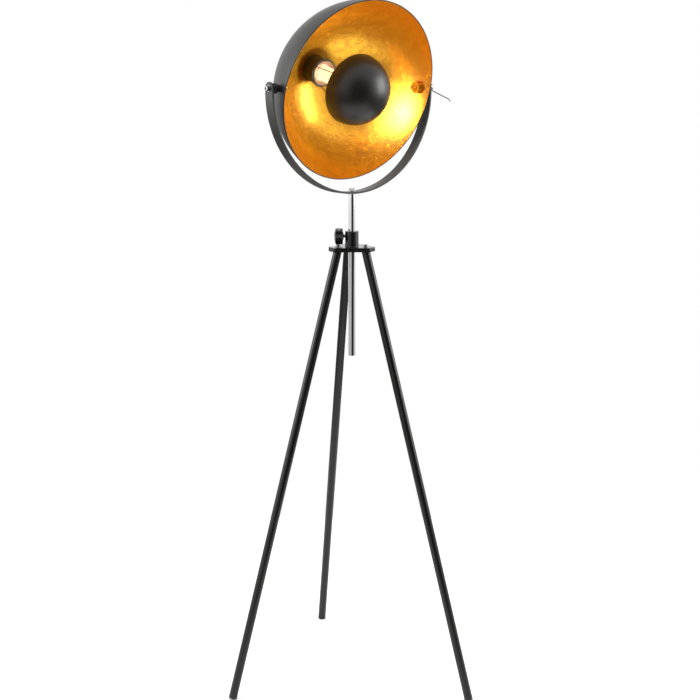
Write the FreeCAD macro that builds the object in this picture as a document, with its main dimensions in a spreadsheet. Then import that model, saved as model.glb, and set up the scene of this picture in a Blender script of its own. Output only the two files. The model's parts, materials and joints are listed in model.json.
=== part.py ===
import FreeCAD, Part
import math
import os
import Sketcher

# Tripod floor lamp: three splayed tube legs under a plate, a chrome mast clamped in a hub,
# and a spun dish on a bent yoke. Millimetres, +Z up, floor at Z = 0, mast along the Z axis.
# Shade pieces are drawn in the shade's own frame: origin on the tilt axis, X along the tilt
# axis, Z out of the dish's mouth. Azimuths are counted from +X towards +Y.

App = FreeCAD
V = App.Vector
doc = App.newDocument("tripod_floor_lamp")

DIMENSIONS = {
    "pivot_height": 1363.5,     # tilt axis above the floor
    "shade_heading": 38.0,      # dish turned about the mast, from -Y towards +X
    "shade_tilt": 17.0,         # dish mouth below the horizontal
    "rim_radius": 200.0,
    "shell_lead": 20.0,         # centre of the dish's sphere in front of its rim plane
    "shell_wall": 1.2,
    "pivot_setback": 32.0,      # tilt axis behind the rim plane
    "yoke_radius": 220.0,       # outside of the yoke's bend
    "yoke_drop": 230.0,         # tilt axis down to the yoke's underside
    "yoke_width": 27.0,
    "yoke_wall": 4.5,
    "pivot_bolt": 6.0,
    "spacer_diameter": 22.0,
    "spacer_collar": 13.0,      # length of the spacer's thick end, beside the yoke
    "spacer_neck": 15.0,
    "boss_diameter": 20.0,
    "boss_depth": 10.0,
    "rod_diameter": 16.0,
    "rod_wall": 1.5,
    "rod_foot_height": 767.0,
    "swivel_bolt": 8.0,
    "hub_diameter": 30.0,
    "hub_length": 33.7,
    "hub_bore": 19.0,
    "clamp_rise": 22.5,         # plate up to the clamp screw
    "knob_diameter": 39.0,
    "knob_length": 21.0,
    "knob_reach": 18.5,         # mast axis to the knob's inner face
    "clamp_thread": 8.0,
    "plate_top": 1016.5,
    "plate_wall": 9.5,
    "plate_reach": 53.0,        # mast axis to each cut corner
    "plate_corner": 25.0,       # length of each cut corner
    "leg_diameter": 19.0,
    "leg_wall": 1.2,
    "leg_top_radius": 36.5,
    "foot_radius": 312.0,
    "foot_length": 6.0,
    "sole_rise": 1.995,         # middle of a slanted sole above the floor
    "leg_bolt_radius": 35.5,
    "leg_bolt": 6.0,
    "washer_wall": 1.2,
    "hub_screw": 3.0,
    "holder_radius": 30.0,
    "holder_mouth": 104.0,      # tilt axis back to the lampholder's mouth
    "holder_seat": 145.5,       # tilt axis back to the lampholder's base
    "bulb_radius": 17.0,
    "bulb_tip": 25.0,           # tilt axis back to the bulb's tip
    "shield_radius": 78.0,
    "shield_centre": 10.0,      # centre of the shield's sphere in front of the tilt axis
    "shield_wall": 1.0,
    "wire_diameter": 2.0,
    "lever_diameter": 2.4,
    "lever_reach": 71.0,
    "running_gap": 0.05,        # radial clearance of turning and sliding fits
    "face_gap": 0.1,            # between faces that turn on each other
}
LEG_AZIMUTH = {"left": 209.7, "right": 328.3, "back": 104.4}
PLATE_CORNERS = (90.0, 210.0, 330.0)

sheet = doc.addObject("Spreadsheet::Sheet", "Lamp")
for row, (alias, size) in enumerate(DIMENSIONS.items(), start=1):
    sheet.set(f"A{row}", alias)
    sheet.set(f"B{row}", str(size))
    sheet.setAlias(f"B{row}", alias)
doc.recompute()

parts = []


def dim(alias):
    """A driving dimension, read from the sheet."""
    return float(sheet.get(alias))


def turn(axis, degrees):
    """A rotation about an axis through the origin."""
    return App.Placement(V(0, 0, 0), App.Rotation(axis, degrees))


def shift(x, y, z):
    """A plain move."""
    return App.Placement(V(x, y, z), App.Rotation())


X_AXIS = V(1, 0, 0)
Y_AXIS = V(0, 1, 0)
Z_AXIS = V(0, 0, 1)
PIVOT = shift(0, 0, dim("pivot_height"))
YOKE_FRAME = PIVOT * turn(Z_AXIS, dim("shade_heading"))
SHADE_FRAME = YOKE_FRAME * turn(X_AXIS, 90 + dim("shade_tilt"))
SIDES = {"left": -1, "right": 1}
# Along the tilt axis, outwards on either side.
OUTWARDS = {side: SHADE_FRAME * turn(Y_AXIS, 90 * sign) for side, sign in SIDES.items()}


def keep(item, label):
    """Record a finished piece under the name of its node."""
    item.Label = label
    parts.append(item)
    return item


def origin_plane(body, role):
    """One of a body's own origin planes."""
    return next(feature for feature in body.Origin.OriginFeatures if feature.Role == role)


def new_sketch(body, role, name):
    """An empty sketch on one of the body's origin planes."""
    sketch = body.newObject("Sketcher::SketchObject", name)
    sketch.AttachmentSupport = (origin_plane(body, role), [""])
    sketch.MapMode = "FlatFace"
    return sketch


def bind_point(sketch, body, edge, end, point):
    """Hold one end of an edge at a pair of expressions."""
    for kind, expression in zip(("DistanceX", "DistanceY"), point):
        size = body.evalExpression(expression)
        index = sketch.addConstraint(Sketcher.Constraint(kind, -1, 1, edge, end, float(size)))
        sketch.setExpression(f"Constraints[{index}]", expression)


def arc_between(start, end, radius, side):
    """The short arc from start to end, its centre on the left (side 1) or right (side -1)."""
    chord = end - start
    across = V(-chord.y, chord.x, 0).normalize() * side
    centre = (start + end) * 0.5 + across * math.sqrt(radius ** 2 - chord.Length ** 2 / 4)
    first, last = (start, end) if side > 0 else (end, start)
    angles = [math.atan2(point.y - centre.y, point.x - centre.x) for point in (first, last)]
    if angles[1] < angles[0]:
        angles[1] += 2 * math.pi
    return Part.ArcOfCircle(Part.Circle(centre, Z_AXIS, radius), *angles)


def draw_outline(sketch, body, corners, arcs):
    """A closed outline through corners given as expressions; arcs maps a corner's number to
    the radius and side of the arc that leaves it."""
    spots = [V(float(body.evalExpression(u)), float(body.evalExpression(v)), 0) for u, v in corners]
    ends = []
    for number, start in enumerate(spots):
        finish = spots[(number + 1) % len(spots)]
        if number in arcs:
            radius, side = arcs[number]
            size = float(body.evalExpression(radius))
            edge = sketch.addGeometry(arc_between(start, finish, size, side), False)
            index = sketch.addConstraint(Sketcher.Constraint("Radius", edge, size))
            sketch.setExpression(f"Constraints[{index}]", radius)
            ends.append((edge, 1, 2) if side > 0 else (edge, 2, 1))
        else:
            edge = sketch.addGeometry(Part.LineSegment(start, finish), False)
            ends.append((edge, 1, 2))
    for number, point in enumerate(corners):
        edge, first, _ = ends[number]
        before, _, last = ends[number - 1]
        sketch.addConstraint(Sketcher.Constraint("Coincident", before, last, edge, first))
        bind_point(sketch, body, edge, first, point)


def turned(name, corners, arcs=None, place=App.Placement()):
    """A turned piece: a half section of (radius, height) corners spun about the body's Z."""
    body = doc.addObject("PartDesign::Body", name)
    sketch = new_sketch(body, "XZ_Plane", name + "_section")
    draw_outline(sketch, body, corners, arcs or {})
    spin = body.newObject("PartDesign::Revolution", name + "_spin")
    spin.Profile = (sketch, [""])
    spin.ReferenceAxis = (sketch, ["V_Axis"])
    spin.Angle = 360
    body.Placement = place
    return body


def ring(name, outer, inner, low, high, place=App.Placement()):
    """A plain turned ring or sleeve between two heights."""
    corners = [(inner, low), (outer, low), (outer, high), (inner, high)]
    return turned(name, corners, place=place)


def padded(name, role, corners, length, arcs=None, both_ways=False):
    """A body with one outline pulled up by an expression."""
    body = doc.addObject("PartDesign::Body", name)
    sketch = new_sketch(body, role, name + "_outline")
    draw_outline(sketch, body, corners, arcs or {})
    pad = body.newObject("PartDesign::Pad", name + "_pad")
    pad.Profile = (sketch, [""])
    pad.SideType = "Symmetric" if both_ways else "One side"
    pad.setExpression("Length", length)
    return body


def pierce(body, role, name, centres, diameter):
    """Round holes right through a body, square to one of its origin planes."""
    sketch = new_sketch(body, role, name)
    size = float(body.evalExpression(diameter))
    for u, v in centres:
        spot = V(float(body.evalExpression(u)), float(body.evalExpression(v)), 0)
        edge = sketch.addGeometry(Part.Circle(spot, Z_AXIS, size / 2), False)
        bind_point(sketch, body, edge, 3, (u, v))
        index = sketch.addConstraint(Sketcher.Constraint("Diameter", edge, size))
        sketch.setExpression(f"Constraints[{index}]", diameter)
    pocket = body.newObject("PartDesign::Pocket", name + "_cut")
    pocket.Profile = (sketch, [""])
    pocket.SideType = "Symmetric"
    pocket.Type = "ThroughAll"
    volume = body.Shape.Volume
    doc.recompute()
    if body.Shape.Volume >= volume:
        raise RuntimeError(f"{name} cuts nothing")


def around(radius, azimuth):
    """Expressions for a point at a radius and azimuth about the origin."""
    return f"{radius} * cos({azimuth} deg)", f"{radius} * sin({azimuth} deg)"


def cylinder(name, diameter, length, place):
    """A plain cylinder from its placement's origin along its placement's Z."""
    item = doc.addObject("Part::Cylinder", name)
    item.setExpression("Radius", f"({diameter}) / 2")
    item.setExpression("Height", length)
    item.Placement = place
    return item


def cut(label, base, tools):
    """The base without its tools."""
    item = doc.addObject("Part::Cut", label)
    item.Base = base
    item.Tool = tools[0] if len(tools) == 1 else fuse(label + "_tools", tools)
    return item


def fuse(label, pieces):
    """Several pieces joined, or kept side by side as separate solids."""
    item = doc.addObject("Part::MultiFuse", label)
    item.Shapes = pieces
    return item


def hexagon(name, across_flats, height, place):
    """A plain hexagonal prism, for nuts and bolt heads."""
    item = doc.addObject("Part::Prism", name)
    item.Polygon = 6
    item.setExpression("Circumradius", f"{across_flats} / sqrt(3)")
    item.setExpression("Height", height)
    item.Placement = place
    return item


# ---- Tripod ------------------------------------------------------------------------------

THREAD_FIT = "2 * Lamp.running_gap"


def build_plate():
    """Thick three-cornered plate with holes for the mast, the leg bolts and the hub screws."""
    corners = []
    for azimuth in PLATE_CORNERS:
        for side in (-1, 1):
            along, up = around("Lamp.plate_reach", azimuth)
            corners.append((f"{along} - {side} * Lamp.plate_corner / 2 * sin({azimuth} deg)",
                            f"{up} + {side} * Lamp.plate_corner / 2 * cos({azimuth} deg)"))
    body = padded("tripod_plate", "XY_Plane", corners, "Lamp.plate_wall")
    doc.recompute()
    bolts = [around("Lamp.leg_bolt_radius", azimuth) for azimuth in LEG_AZIMUTH.values()]
    pierce(body, "XY_Plane", "mast_hole", [("0", "0")], "Lamp.rod_diameter + 1")
    pierce(body, "XY_Plane", "leg_bolt_holes", bolts, "Lamp.leg_bolt + 0.4")
    pierce(body, "XY_Plane", "hub_screw_holes", hub_screw_spots(), "Lamp.hub_screw + 0.2")
    body.Placement = shift(0, 0, dim("plate_top") - dim("plate_wall"))
    keep(body, "tripod_plate")


def hub_screw_spots():
    """Three screws in the hub's wall, between its bore and its outside."""
    middle = "(Lamp.hub_bore + Lamp.hub_diameter) / 4"
    return [around(middle, azimuth) for azimuth in (30, 150, 270)]


def build_hub():
    """Clamp hub with its liner, screws from below and a threaded side hole for the clamp."""
    top = shift(0, 0, dim("plate_top"))
    sleeve = ring("hub_sleeve", "Lamp.hub_diameter / 2", "Lamp.hub_bore / 2", "0",
                  "Lamp.hub_length", top)
    doc.recompute()
    sideways = App.Placement(V(0, 0, clamp_height()), App.Rotation(Y_AXIS, -90))
    side_hole = cylinder("side_hole", "Lamp.clamp_thread", "Lamp.hub_diameter", sideways)
    screw_holes = []
    screws = []
    head_height = 1.8
    grip = 8
    for number, spot in enumerate(hub_screw_spots(), start=1):
        x, y = (float(sheet.evalExpression(value)) for value in spot)
        shank = shift(x, y, dim("plate_top") - dim("plate_wall"))
        head = shank * shift(0, 0, -head_height)
        screw_holes.append(cylinder(f"screw_hole_{number}", "Lamp.hub_screw",
                                    f"Lamp.plate_wall + {grip} + 1", shank))
        screws.append(fuse(f"hub_screw_{number}", [
            cylinder(f"hub_screw_head_{number}", "Lamp.hub_screw + 1.4", str(head_height), head),
            cylinder(f"hub_screw_shank_{number}", f"Lamp.hub_screw - {THREAD_FIT}",
                     f"Lamp.plate_wall + {grip}", shank)]))
    keep(cut("clamp_hub", sleeve, [side_hole] + screw_holes), "clamp_hub")
    keep(fuse("hub_screws", screws), "hub_screws")
    liner = ring("liner_sleeve", "Lamp.hub_bore / 2 - Lamp.running_gap",
                 "Lamp.rod_diameter / 2 + Lamp.running_gap", "0.5", "Lamp.hub_length - 0.5", top)
    window = cylinder("liner_window", "Lamp.clamp_thread + 0.2", "Lamp.hub_diameter", sideways)
    keep(cut("hub_liner", liner, [window]), "hub_liner")
    pad_start = App.Placement(V(-dim("rod_diameter") / 2 - 0.3, 0, clamp_height()),
                              App.Rotation(Y_AXIS, -90))
    keep(cylinder("clamp_pad", "Lamp.clamp_thread - 0.3", "2.6", pad_start), "clamp_pad")


def clamp_height():
    """Clamp screw above the floor."""
    return dim("plate_top") + dim("clamp_rise")


def leg_lean():
    """Degrees that each leg leans from the vertical."""
    rise = dim("plate_top") - dim("plate_wall") - dim("sole_rise")
    run = dim("foot_radius") - dim("leg_top_radius")
    return math.degrees(math.atan2(run, rise))


def leg_frame(azimuth):
    """Z up along one leg's centre line from the middle of its foot's sole."""
    sole = shift(dim("foot_radius"), 0, dim("sole_rise"))
    return turn(Z_AXIS, azimuth) * sole * turn(Y_AXIS, -leg_lean())


def half_space(name, height, above):
    """A wide block above or below a height, to trim slanted pieces level."""
    block = doc.addObject("Part::Box", name)
    block.setExpression("Length", "3 * Lamp.foot_radius")
    block.setExpression("Width", "3 * Lamp.foot_radius")
    block.setExpression("Height", "Lamp.foot_radius")
    corner = -1.5 * dim("foot_radius")
    drop = 0 if above else dim("foot_radius")
    block.Placement = shift(corner, corner, height - drop)
    return block


def build_legs():
    """Three mitred tubes, each with a threaded top plug, a bolt through the plate and a foot."""
    plate_under = dim("plate_top") - dim("plate_wall")
    over_length = "Lamp.plate_top * 1.1"
    inner = "Lamp.leg_diameter - 2 * Lamp.leg_wall"
    plug_depth = 30
    thread_depth = 11
    head_diameter = 9.0
    head_height = 5.0
    washer_height = 1
    plugs = []
    bolts = []
    washers = []
    for side, azimuth in LEG_AZIMUTH.items():
        frame = leg_frame(azimuth)
        start = frame * shift(0, 0, dim("foot_length"))
        skin = cylinder(f"leg_skin_{side}", "Lamp.leg_diameter", over_length, start)
        core = cylinder(f"leg_core_{side}", inner, over_length, start)
        above = half_space(f"above_leg_{side}", plate_under, True)
        keep(cut(f"leg_{side}", skin, [core, above]), f"leg_{side}")

        x, y = (float(sheet.evalExpression(v)) for v in around("Lamp.leg_bolt_radius", azimuth))
        upright = shift(x, y, plate_under)
        plug_rise = (plate_under - plug_depth) / math.cos(math.radians(leg_lean()))
        plug_start = frame * shift(0, 0, plug_rise)
        plug = cylinder(f"plug_{side}", inner + " - 0.1", str(2 * plug_depth), plug_start)
        above_plug = half_space(f"above_plug_{side}", plate_under, True)
        bore = cylinder(f"plug_bore_{side}", "Lamp.leg_bolt", str(thread_depth),
                        upright * shift(0, 0, -thread_depth))
        plugs.append(cut(f"leg_plug_{side}", plug, [above_plug, bore]))

        seat = upright * shift(0, 0, dim("plate_wall"))
        washer = cylinder(f"washer_disc_{side}", f"{head_diameter} + 2", str(washer_height), seat)
        hole = cylinder(f"washer_hole_{side}", "Lamp.leg_bolt + 0.4", str(washer_height), seat)
        washers.append(cut(f"leg_washer_{side}", washer, [hole]))
        bolts.append(fuse(f"leg_bolt_{side}", [
            cylinder(f"bolt_head_{side}", str(head_diameter), str(head_height),
                     seat * shift(0, 0, washer_height)),
            cylinder(f"bolt_shank_{side}", "Lamp.leg_bolt - 0.1",
                     f"Lamp.plate_wall + {thread_depth}",
                     upright * shift(0, 0, 1 - thread_depth))]))

        stem = "Lamp.leg_diameter / 2 - Lamp.leg_wall - 0.05"
        stem_top = "Lamp.foot_length + 14"
        cap = turned(f"foot_cap_{side}", [
            ("0", "0"), ("Lamp.leg_diameter / 2 - 0.8", "0"), ("Lamp.leg_diameter / 2", "0.8"),
            ("Lamp.leg_diameter / 2", "Lamp.foot_length"), (stem, "Lamp.foot_length"),
            (stem, stem_top), ("0", stem_top)], place=frame)
        floor = half_space(f"floor_{side}", 0, False)
        keep(cut(f"foot_{side}", cap, [floor]), f"foot_{side}")
    keep(fuse("leg_plugs", plugs), "leg_plugs")
    keep(fuse("leg_bolts", bolts), "leg_bolts")
    keep(fuse("leg_washers", washers), "leg_washers")


def build_clamp_knob():
    """Star knob with five lobes, one pointing down, on a threaded stud that presses the clamp pad."""
    lobes = 5
    scoop_diameter = 14
    scoop_offset = 3
    rim = "Lamp.knob_diameter / 2"
    inner_face = "Lamp.knob_reach"
    outer_face = "Lamp.knob_reach + Lamp.knob_length"
    socket_floor = "Lamp.knob_reach + 12"
    face_radius = "Lamp.clamp_thread"
    axis = App.Placement(V(0, 0, clamp_height()), App.Rotation(Y_AXIS, -90))
    knob = turned("knob_blank", [
        ("Lamp.clamp_thread / 2", inner_face), (face_radius, inner_face),
        (f"{rim} - 1.5", f"{inner_face} + 1.5"), (rim, f"{inner_face} + 3.5"),
        (rim, f"{outer_face} - 4"), (f"{rim} - 1.2", f"{outer_face} - 3"),
        (face_radius, outer_face), ("0", outer_face), ("0", socket_floor),
        ("Lamp.clamp_thread / 2", socket_floor)], place=axis)
    scoops = []
    for number in range(lobes):
        spot = shift(dim("knob_diameter") / 2 + scoop_offset, 0, dim("knob_reach") - 2)
        place = axis * turn(Z_AXIS, number * 360 / lobes) * spot
        scoops.append(cylinder(f"scoop_{number + 1}", str(scoop_diameter), "Lamp.knob_length * 2",
                               place))
    keep(cut("clamp_knob", knob, scoops), "clamp_knob")
    pad_wall = 3
    tip = axis * shift(0, 0, dim("rod_diameter") / 2 + pad_wall)
    length = f"{socket_floor} - 0.1 - Lamp.rod_diameter / 2 - {pad_wall}"
    keep(cylinder("clamp_screw", "Lamp.clamp_thread - " + THREAD_FIT, length, tip), "clamp_screw")


# ---- Mast --------------------------------------------------------------------------------

SWIVEL_WASHER = 0.9     # washer between the mast and the yoke


def build_mast():
    """Chrome tube with end plugs, and the bolt and washers that the yoke swivels on."""
    plug_length = 22
    yoke_under = dim("pivot_height") - dim("yoke_drop")
    rod_top = yoke_under - dim("face_gap") - SWIVEL_WASHER
    foot = shift(0, 0, dim("rod_foot_height"))
    length = (f"Lamp.pivot_height - Lamp.yoke_drop - Lamp.face_gap - {SWIVEL_WASHER}"
              " - Lamp.rod_foot_height")
    bore = "Lamp.rod_diameter / 2 - Lamp.rod_wall"
    keep(ring("mast_rod", "Lamp.rod_diameter / 2", bore, "0", length, foot), "mast_rod")
    keep(cylinder("mast_end_plug", f"2 * ({bore}) - 0.1", "12", foot * shift(0, 0, 0.5)),
         "mast_end_plug")
    thread = "Lamp.swivel_bolt / 2"
    keep(ring("mast_top_plug", f"{bore} - 0.05", thread, f"-{plug_length}", "-0.2",
              shift(0, 0, rod_top)), "mast_top_plug")
    keep(ring("swivel_washer_lower", "10", thread, "0", str(SWIVEL_WASHER), shift(0, 0, rod_top)),
         "swivel_washer_lower")
    bend_rise = 0.2
    above = yoke_under + dim("yoke_wall") + dim("face_gap") + bend_rise
    keep(ring("swivel_washer_upper", "8", thread, "0", "Lamp.washer_wall", shift(0, 0, above)),
         "swivel_washer_upper")
    shank = cylinder("swivel_shank", "Lamp.swivel_bolt - 0.05",
                     f"Lamp.yoke_wall + {plug_length} + 2", shift(0, 0, rod_top - plug_length + 2))
    head = hexagon("swivel_head", "13", "6.2", shift(0, 0, above + dim("washer_wall")))
    keep(fuse("swivel_bolt", [shank, head]), "swivel_bolt")


# ---- Yoke --------------------------------------------------------------------------------

def build_yoke():
    """Half-round strip with short straight arms whose ends are rounded about the tilt axis."""
    inner = "(Lamp.yoke_radius - Lamp.yoke_wall)"
    centre = "(Lamp.yoke_radius - Lamp.yoke_drop)"
    end = "Lamp.yoke_width / 2"
    corners = [
        (f"-{inner}", end), ("-Lamp.yoke_radius", end), ("-Lamp.yoke_radius", centre),
        ("0", "-Lamp.yoke_drop"), ("Lamp.yoke_radius", centre), ("Lamp.yoke_radius", end),
        (inner, end), (inner, centre), ("0", "Lamp.yoke_wall - Lamp.yoke_drop"),
        (f"-{inner}", centre)]
    arcs = {2: ("Lamp.yoke_radius", 1), 3: ("Lamp.yoke_radius", 1), 7: (inner, -1), 8: (inner, -1)}
    body = padded("yoke", "XZ_Plane", corners, "Lamp.yoke_width", arcs, both_ways=True)
    doc.recompute()
    top = dim("yoke_width") / 2
    names = [f"Edge{number}" for number, edge in enumerate(body.Shape.Edges, start=1)
             if edge.BoundBox.YLength < 0.01 and edge.BoundBox.ZLength < 0.01
             and abs(edge.BoundBox.ZMin - top) < 0.01]
    strip = body.Tip
    rounding = body.newObject("PartDesign::Fillet", "rounded_ends")
    rounding.Base = (strip, names)
    rounding.Radius = top - 0.1
    doc.recompute()
    pierce(body, "YZ_Plane", "pivot_holes", [("0", "0")], f"Lamp.pivot_bolt + {THREAD_FIT}")
    pierce(body, "XY_Plane", "swivel_hole", [("0", "0")], f"Lamp.swivel_bolt + {THREAD_FIT}")
    body.Placement = YOKE_FRAME
    keep(body, "yoke")


# ---- Shade -------------------------------------------------------------------------------

SHELL_CENTRE = "(Lamp.shell_lead + Lamp.pivot_setback)"
SHELL_OUTER = "sqrt(Lamp.rim_radius ^ 2 + Lamp.shell_lead ^ 2)"
SHELL_INNER = f"({SHELL_OUTER} - Lamp.shell_wall)"


def dish_sphere(name, radius):
    """A full ball on the dish's own sphere centre, for saddle cuts."""
    ball = doc.addObject("Part::Sphere", name)
    ball.setExpression("Radius", radius)
    ball.Placement = SHADE_FRAME * shift(0, 0, dim("shell_lead") + dim("pivot_setback"))
    return ball


def shell_depth(sphere, radius):
    """Height in the shade frame of a point on the back of the dish at a radius."""
    return f"{SHELL_CENTRE} - sqrt({sphere} ^ 2 - {radius} ^ 2)"


def build_shell():
    """Spun dish, a little less than half a sphere, with a cable hole and two pivot holes."""
    hole = "5.2"        # radius of the lampholder's fixing hole
    inner_rim = f"sqrt({SHELL_INNER} ^ 2 - Lamp.shell_lead ^ 2)"
    corners = [(hole, shell_depth(SHELL_INNER, hole)), (inner_rim, "Lamp.pivot_setback"),
               ("Lamp.rim_radius", "Lamp.pivot_setback"), (hole, shell_depth(SHELL_OUTER, hole))]
    arcs = {0: (SHELL_INNER, 1), 2: (SHELL_OUTER, -1)}
    body = turned("shade_shell", corners, arcs)
    doc.recompute()
    pierce(body, "YZ_Plane", "shell_pivot_holes", [("0", "0")], "Lamp.pivot_bolt + 0.2")
    body.Placement = SHADE_FRAME
    keep(body, "shade_shell")


def build_pivots():
    """On each side: spacer, boss, washers, nut and bolt, threaded along the tilt axis."""
    bolt_hole = "Lamp.pivot_bolt / 2 + 0.05"
    yoke_inner = "(Lamp.yoke_radius - Lamp.yoke_wall - Lamp.face_gap)"
    wall = f"sqrt({SHELL_INNER} ^ 2 - {SHELL_CENTRE} ^ 2)"
    boss_end = float(sheet.evalExpression(f"{wall} - Lamp.boss_depth"))
    inside_shell = 150
    outside_shell = 210
    nut_height = 5
    stud_tail = 14
    washers = []
    nuts = []
    outer_washers = []
    for side, frame in OUTWARDS.items():
        step = f"{yoke_inner} - Lamp.spacer_collar"
        spacer = turned(f"spacer_{side}", [
            (bolt_hole, str(inside_shell)), ("Lamp.spacer_neck / 2", str(inside_shell)),
            ("Lamp.spacer_neck / 2", step), ("Lamp.spacer_diameter / 2", step),
            ("Lamp.spacer_diameter / 2", yoke_inner), (bolt_hole, yoke_inner)], place=frame)
        ball = dish_sphere(f"outer_ball_{side}", SHELL_OUTER + " + 0.02")
        keep(cut(f"pivot_spacer_{side}", spacer, [ball]), f"pivot_spacer_{side}")
        boss = ring(f"boss_{side}", "Lamp.boss_diameter / 2", bolt_hole, str(boss_end),
                    str(outside_shell), frame)
        inner_ball = dish_sphere(f"inner_ball_{side}", SHELL_INNER + " - 0.02")
        trimmed = doc.addObject("Part::Common", f"pivot_boss_{side}")
        trimmed.Base = boss
        trimmed.Tool = inner_ball
        keep(trimmed, f"pivot_boss_{side}")
        washers.append(ring(f"inner_washer_{side}", "Lamp.boss_diameter / 2 + 3", bolt_hole,
                            "-1.5", "-0.02", frame * shift(0, 0, boss_end)))
        nut_seat = frame * shift(0, 0, boss_end - 1.55 - nut_height)
        nut = hexagon(f"nut_blank_{side}", "10", str(nut_height), nut_seat)
        nut_bore = cylinder(f"nut_bore_{side}", "Lamp.pivot_bolt + 0.1", str(nut_height), nut_seat)
        nuts.append(cut(f"pivot_nut_{side}", nut, [nut_bore]))
        yoke_face = frame * shift(0, 0, dim("yoke_radius"))
        outer_washers.append(ring(f"head_washer_{side}", "7", bolt_hole, "Lamp.face_gap",
                                  "Lamp.washer_wall", yoke_face))
        tail = frame * shift(0, 0, boss_end - stud_tail)
        reach = f"Lamp.yoke_radius - {boss_end} + {stud_tail}"
        if side == "left":
            shank = cylinder("left_shank", "Lamp.pivot_bolt", f"{reach} + 1.5", tail)
            head = ring("left_head", "5.5", "0", "Lamp.washer_wall", "Lamp.washer_wall + 6",
                        yoke_face)
            keep(fuse("pivot_bolt_left", [shank, head]), "pivot_bolt_left")
        else:
            keep(cylinder("pivot_stud_right", "Lamp.pivot_bolt", f"{reach} + 9", tail),
                 "pivot_stud_right")
    keep(fuse("pivot_washers", washers), "pivot_washers")
    keep(fuse("pivot_nuts", nuts), "pivot_nuts")
    keep(fuse("head_washers", outer_washers), "head_washers")


def build_lever():
    """Bent wire lever through a round nut on the right-hand stud, for locking the tilt."""
    below_axis = 5.0
    nut_radius = 7.5
    droop = 0.8
    knee_bend = 35
    start = dim("yoke_radius") + dim("washer_wall") + dim("face_gap")
    frame = OUTWARDS["right"] * shift(0, 0, start)
    nut = ring("lever_nut_blank", str(nut_radius), "Lamp.pivot_bolt / 2 + Lamp.running_gap",
               "0", "9", frame)
    across = SHADE_FRAME * shift(dim("yoke_radius") + 6, -below_axis, 0) * turn(X_AXIS, droop)
    hole = cylinder("lever_hole", "Lamp.lever_diameter + 0.1", str(8 * nut_radius),
                    across * shift(0, 0, -4 * nut_radius))
    keep(cut("lever_nut", nut, [hole]), "lever_nut")
    wire = cylinder("lever_wire", "Lamp.lever_diameter", "Lamp.lever_reach + 8",
                    across * shift(0, 0, -8))
    knee = across * shift(0, 0, dim("lever_reach"))
    ball = doc.addObject("Part::Sphere", "lever_knee")
    ball.setExpression("Radius", "Lamp.lever_diameter / 2")
    ball.Placement = knee
    tip = cylinder("lever_tip", "Lamp.lever_diameter", "5.5", knee * turn(X_AXIS, knee_bend))
    keep(fuse("tilt_lever", [wire, ball, tip]), "tilt_lever")


def build_lampholder():
    """Cup, porcelain socket, brass thread and contact, liner ring and hollow fixing stud."""
    seat = "(-Lamp.holder_seat)"
    mouth = "(-Lamp.holder_mouth)"
    cup_wall = 2
    stud_radius = 5
    stud_hole = f"{stud_radius} + 0.1"
    cup_bore = f"Lamp.holder_radius - {cup_wall}"
    keep(turned("lampholder_cup", [
        (stud_hole, seat), (cup_bore, seat), ("Lamp.holder_radius", f"{seat} + {cup_wall}"),
        ("Lamp.holder_radius", mouth), (cup_bore, mouth), (cup_bore, f"{seat} + {cup_wall}"),
        (stud_hole, f"{seat} + {cup_wall}")], place=SHADE_FRAME), "lampholder_cup")

    base = dim("holder_seat") - 5.5
    floor = base - 2.4
    collar = base - 26
    thread_radius = 14.5
    liner_bore = 20
    socket = turned("socket_blank", [
        ("0", f"-{base}"), (f"{cup_bore} - 0.1", f"-{base}"), (f"{cup_bore} - 0.1", f"4 - {base}"),
        (str(liner_bore), f"4 - {base}"), (str(liner_bore), f"-{collar}"),
        (f"{thread_radius} + 0.1", f"-{collar}"), (f"{thread_radius} + 0.1", f"-{floor}"),
        ("0", f"-{floor}")], place=SHADE_FRAME)
    screws = []
    bores = []
    screw_radius = 12
    for side, sign in SIDES.items():
        spot = SHADE_FRAME * shift(sign * screw_radius, 0, -base - 2.4)
        bores.append(cylinder(f"terminal_bore_{side}", "3", "5", spot))
        screws.append(fuse(f"terminal_{side}", [
            cylinder(f"terminal_head_{side}", "5", "2.3", spot),
            cylinder(f"terminal_shank_{side}", "2.9", "4.7", spot)]))
    keep(cut("lampholder_socket", socket, bores), "lampholder_socket")
    keep(fuse("terminal_screws", screws), "terminal_screws")
    keep(ring("thread_sleeve", str(thread_radius), f"{thread_radius} - 0.8", f"0.1 - {floor}",
              f"-{collar} - 1", SHADE_FRAME), "thread_sleeve")
    keep(cylinder("centre_contact", "7", "1.4", SHADE_FRAME * shift(0, 0, 0.1 - floor)),
         "centre_contact")
    liner_outer = f"{cup_bore} - 0.1"
    liner_inner = f"{liner_bore} + 0.1"
    keep(turned("holder_ring", [
        (liner_inner, f"{mouth} - 14"), (liner_outer, f"{mouth} - 14"),
        (liner_outer, f"{mouth} - 0.5"), (f"{cup_bore} - 1.5", f"{mouth} - 0.5"),
        (liner_inner, f"{mouth} - 7")], place=SHADE_FRAME), "holder_ring")
    build_fixing(seat, stud_radius, stud_hole)


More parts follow.
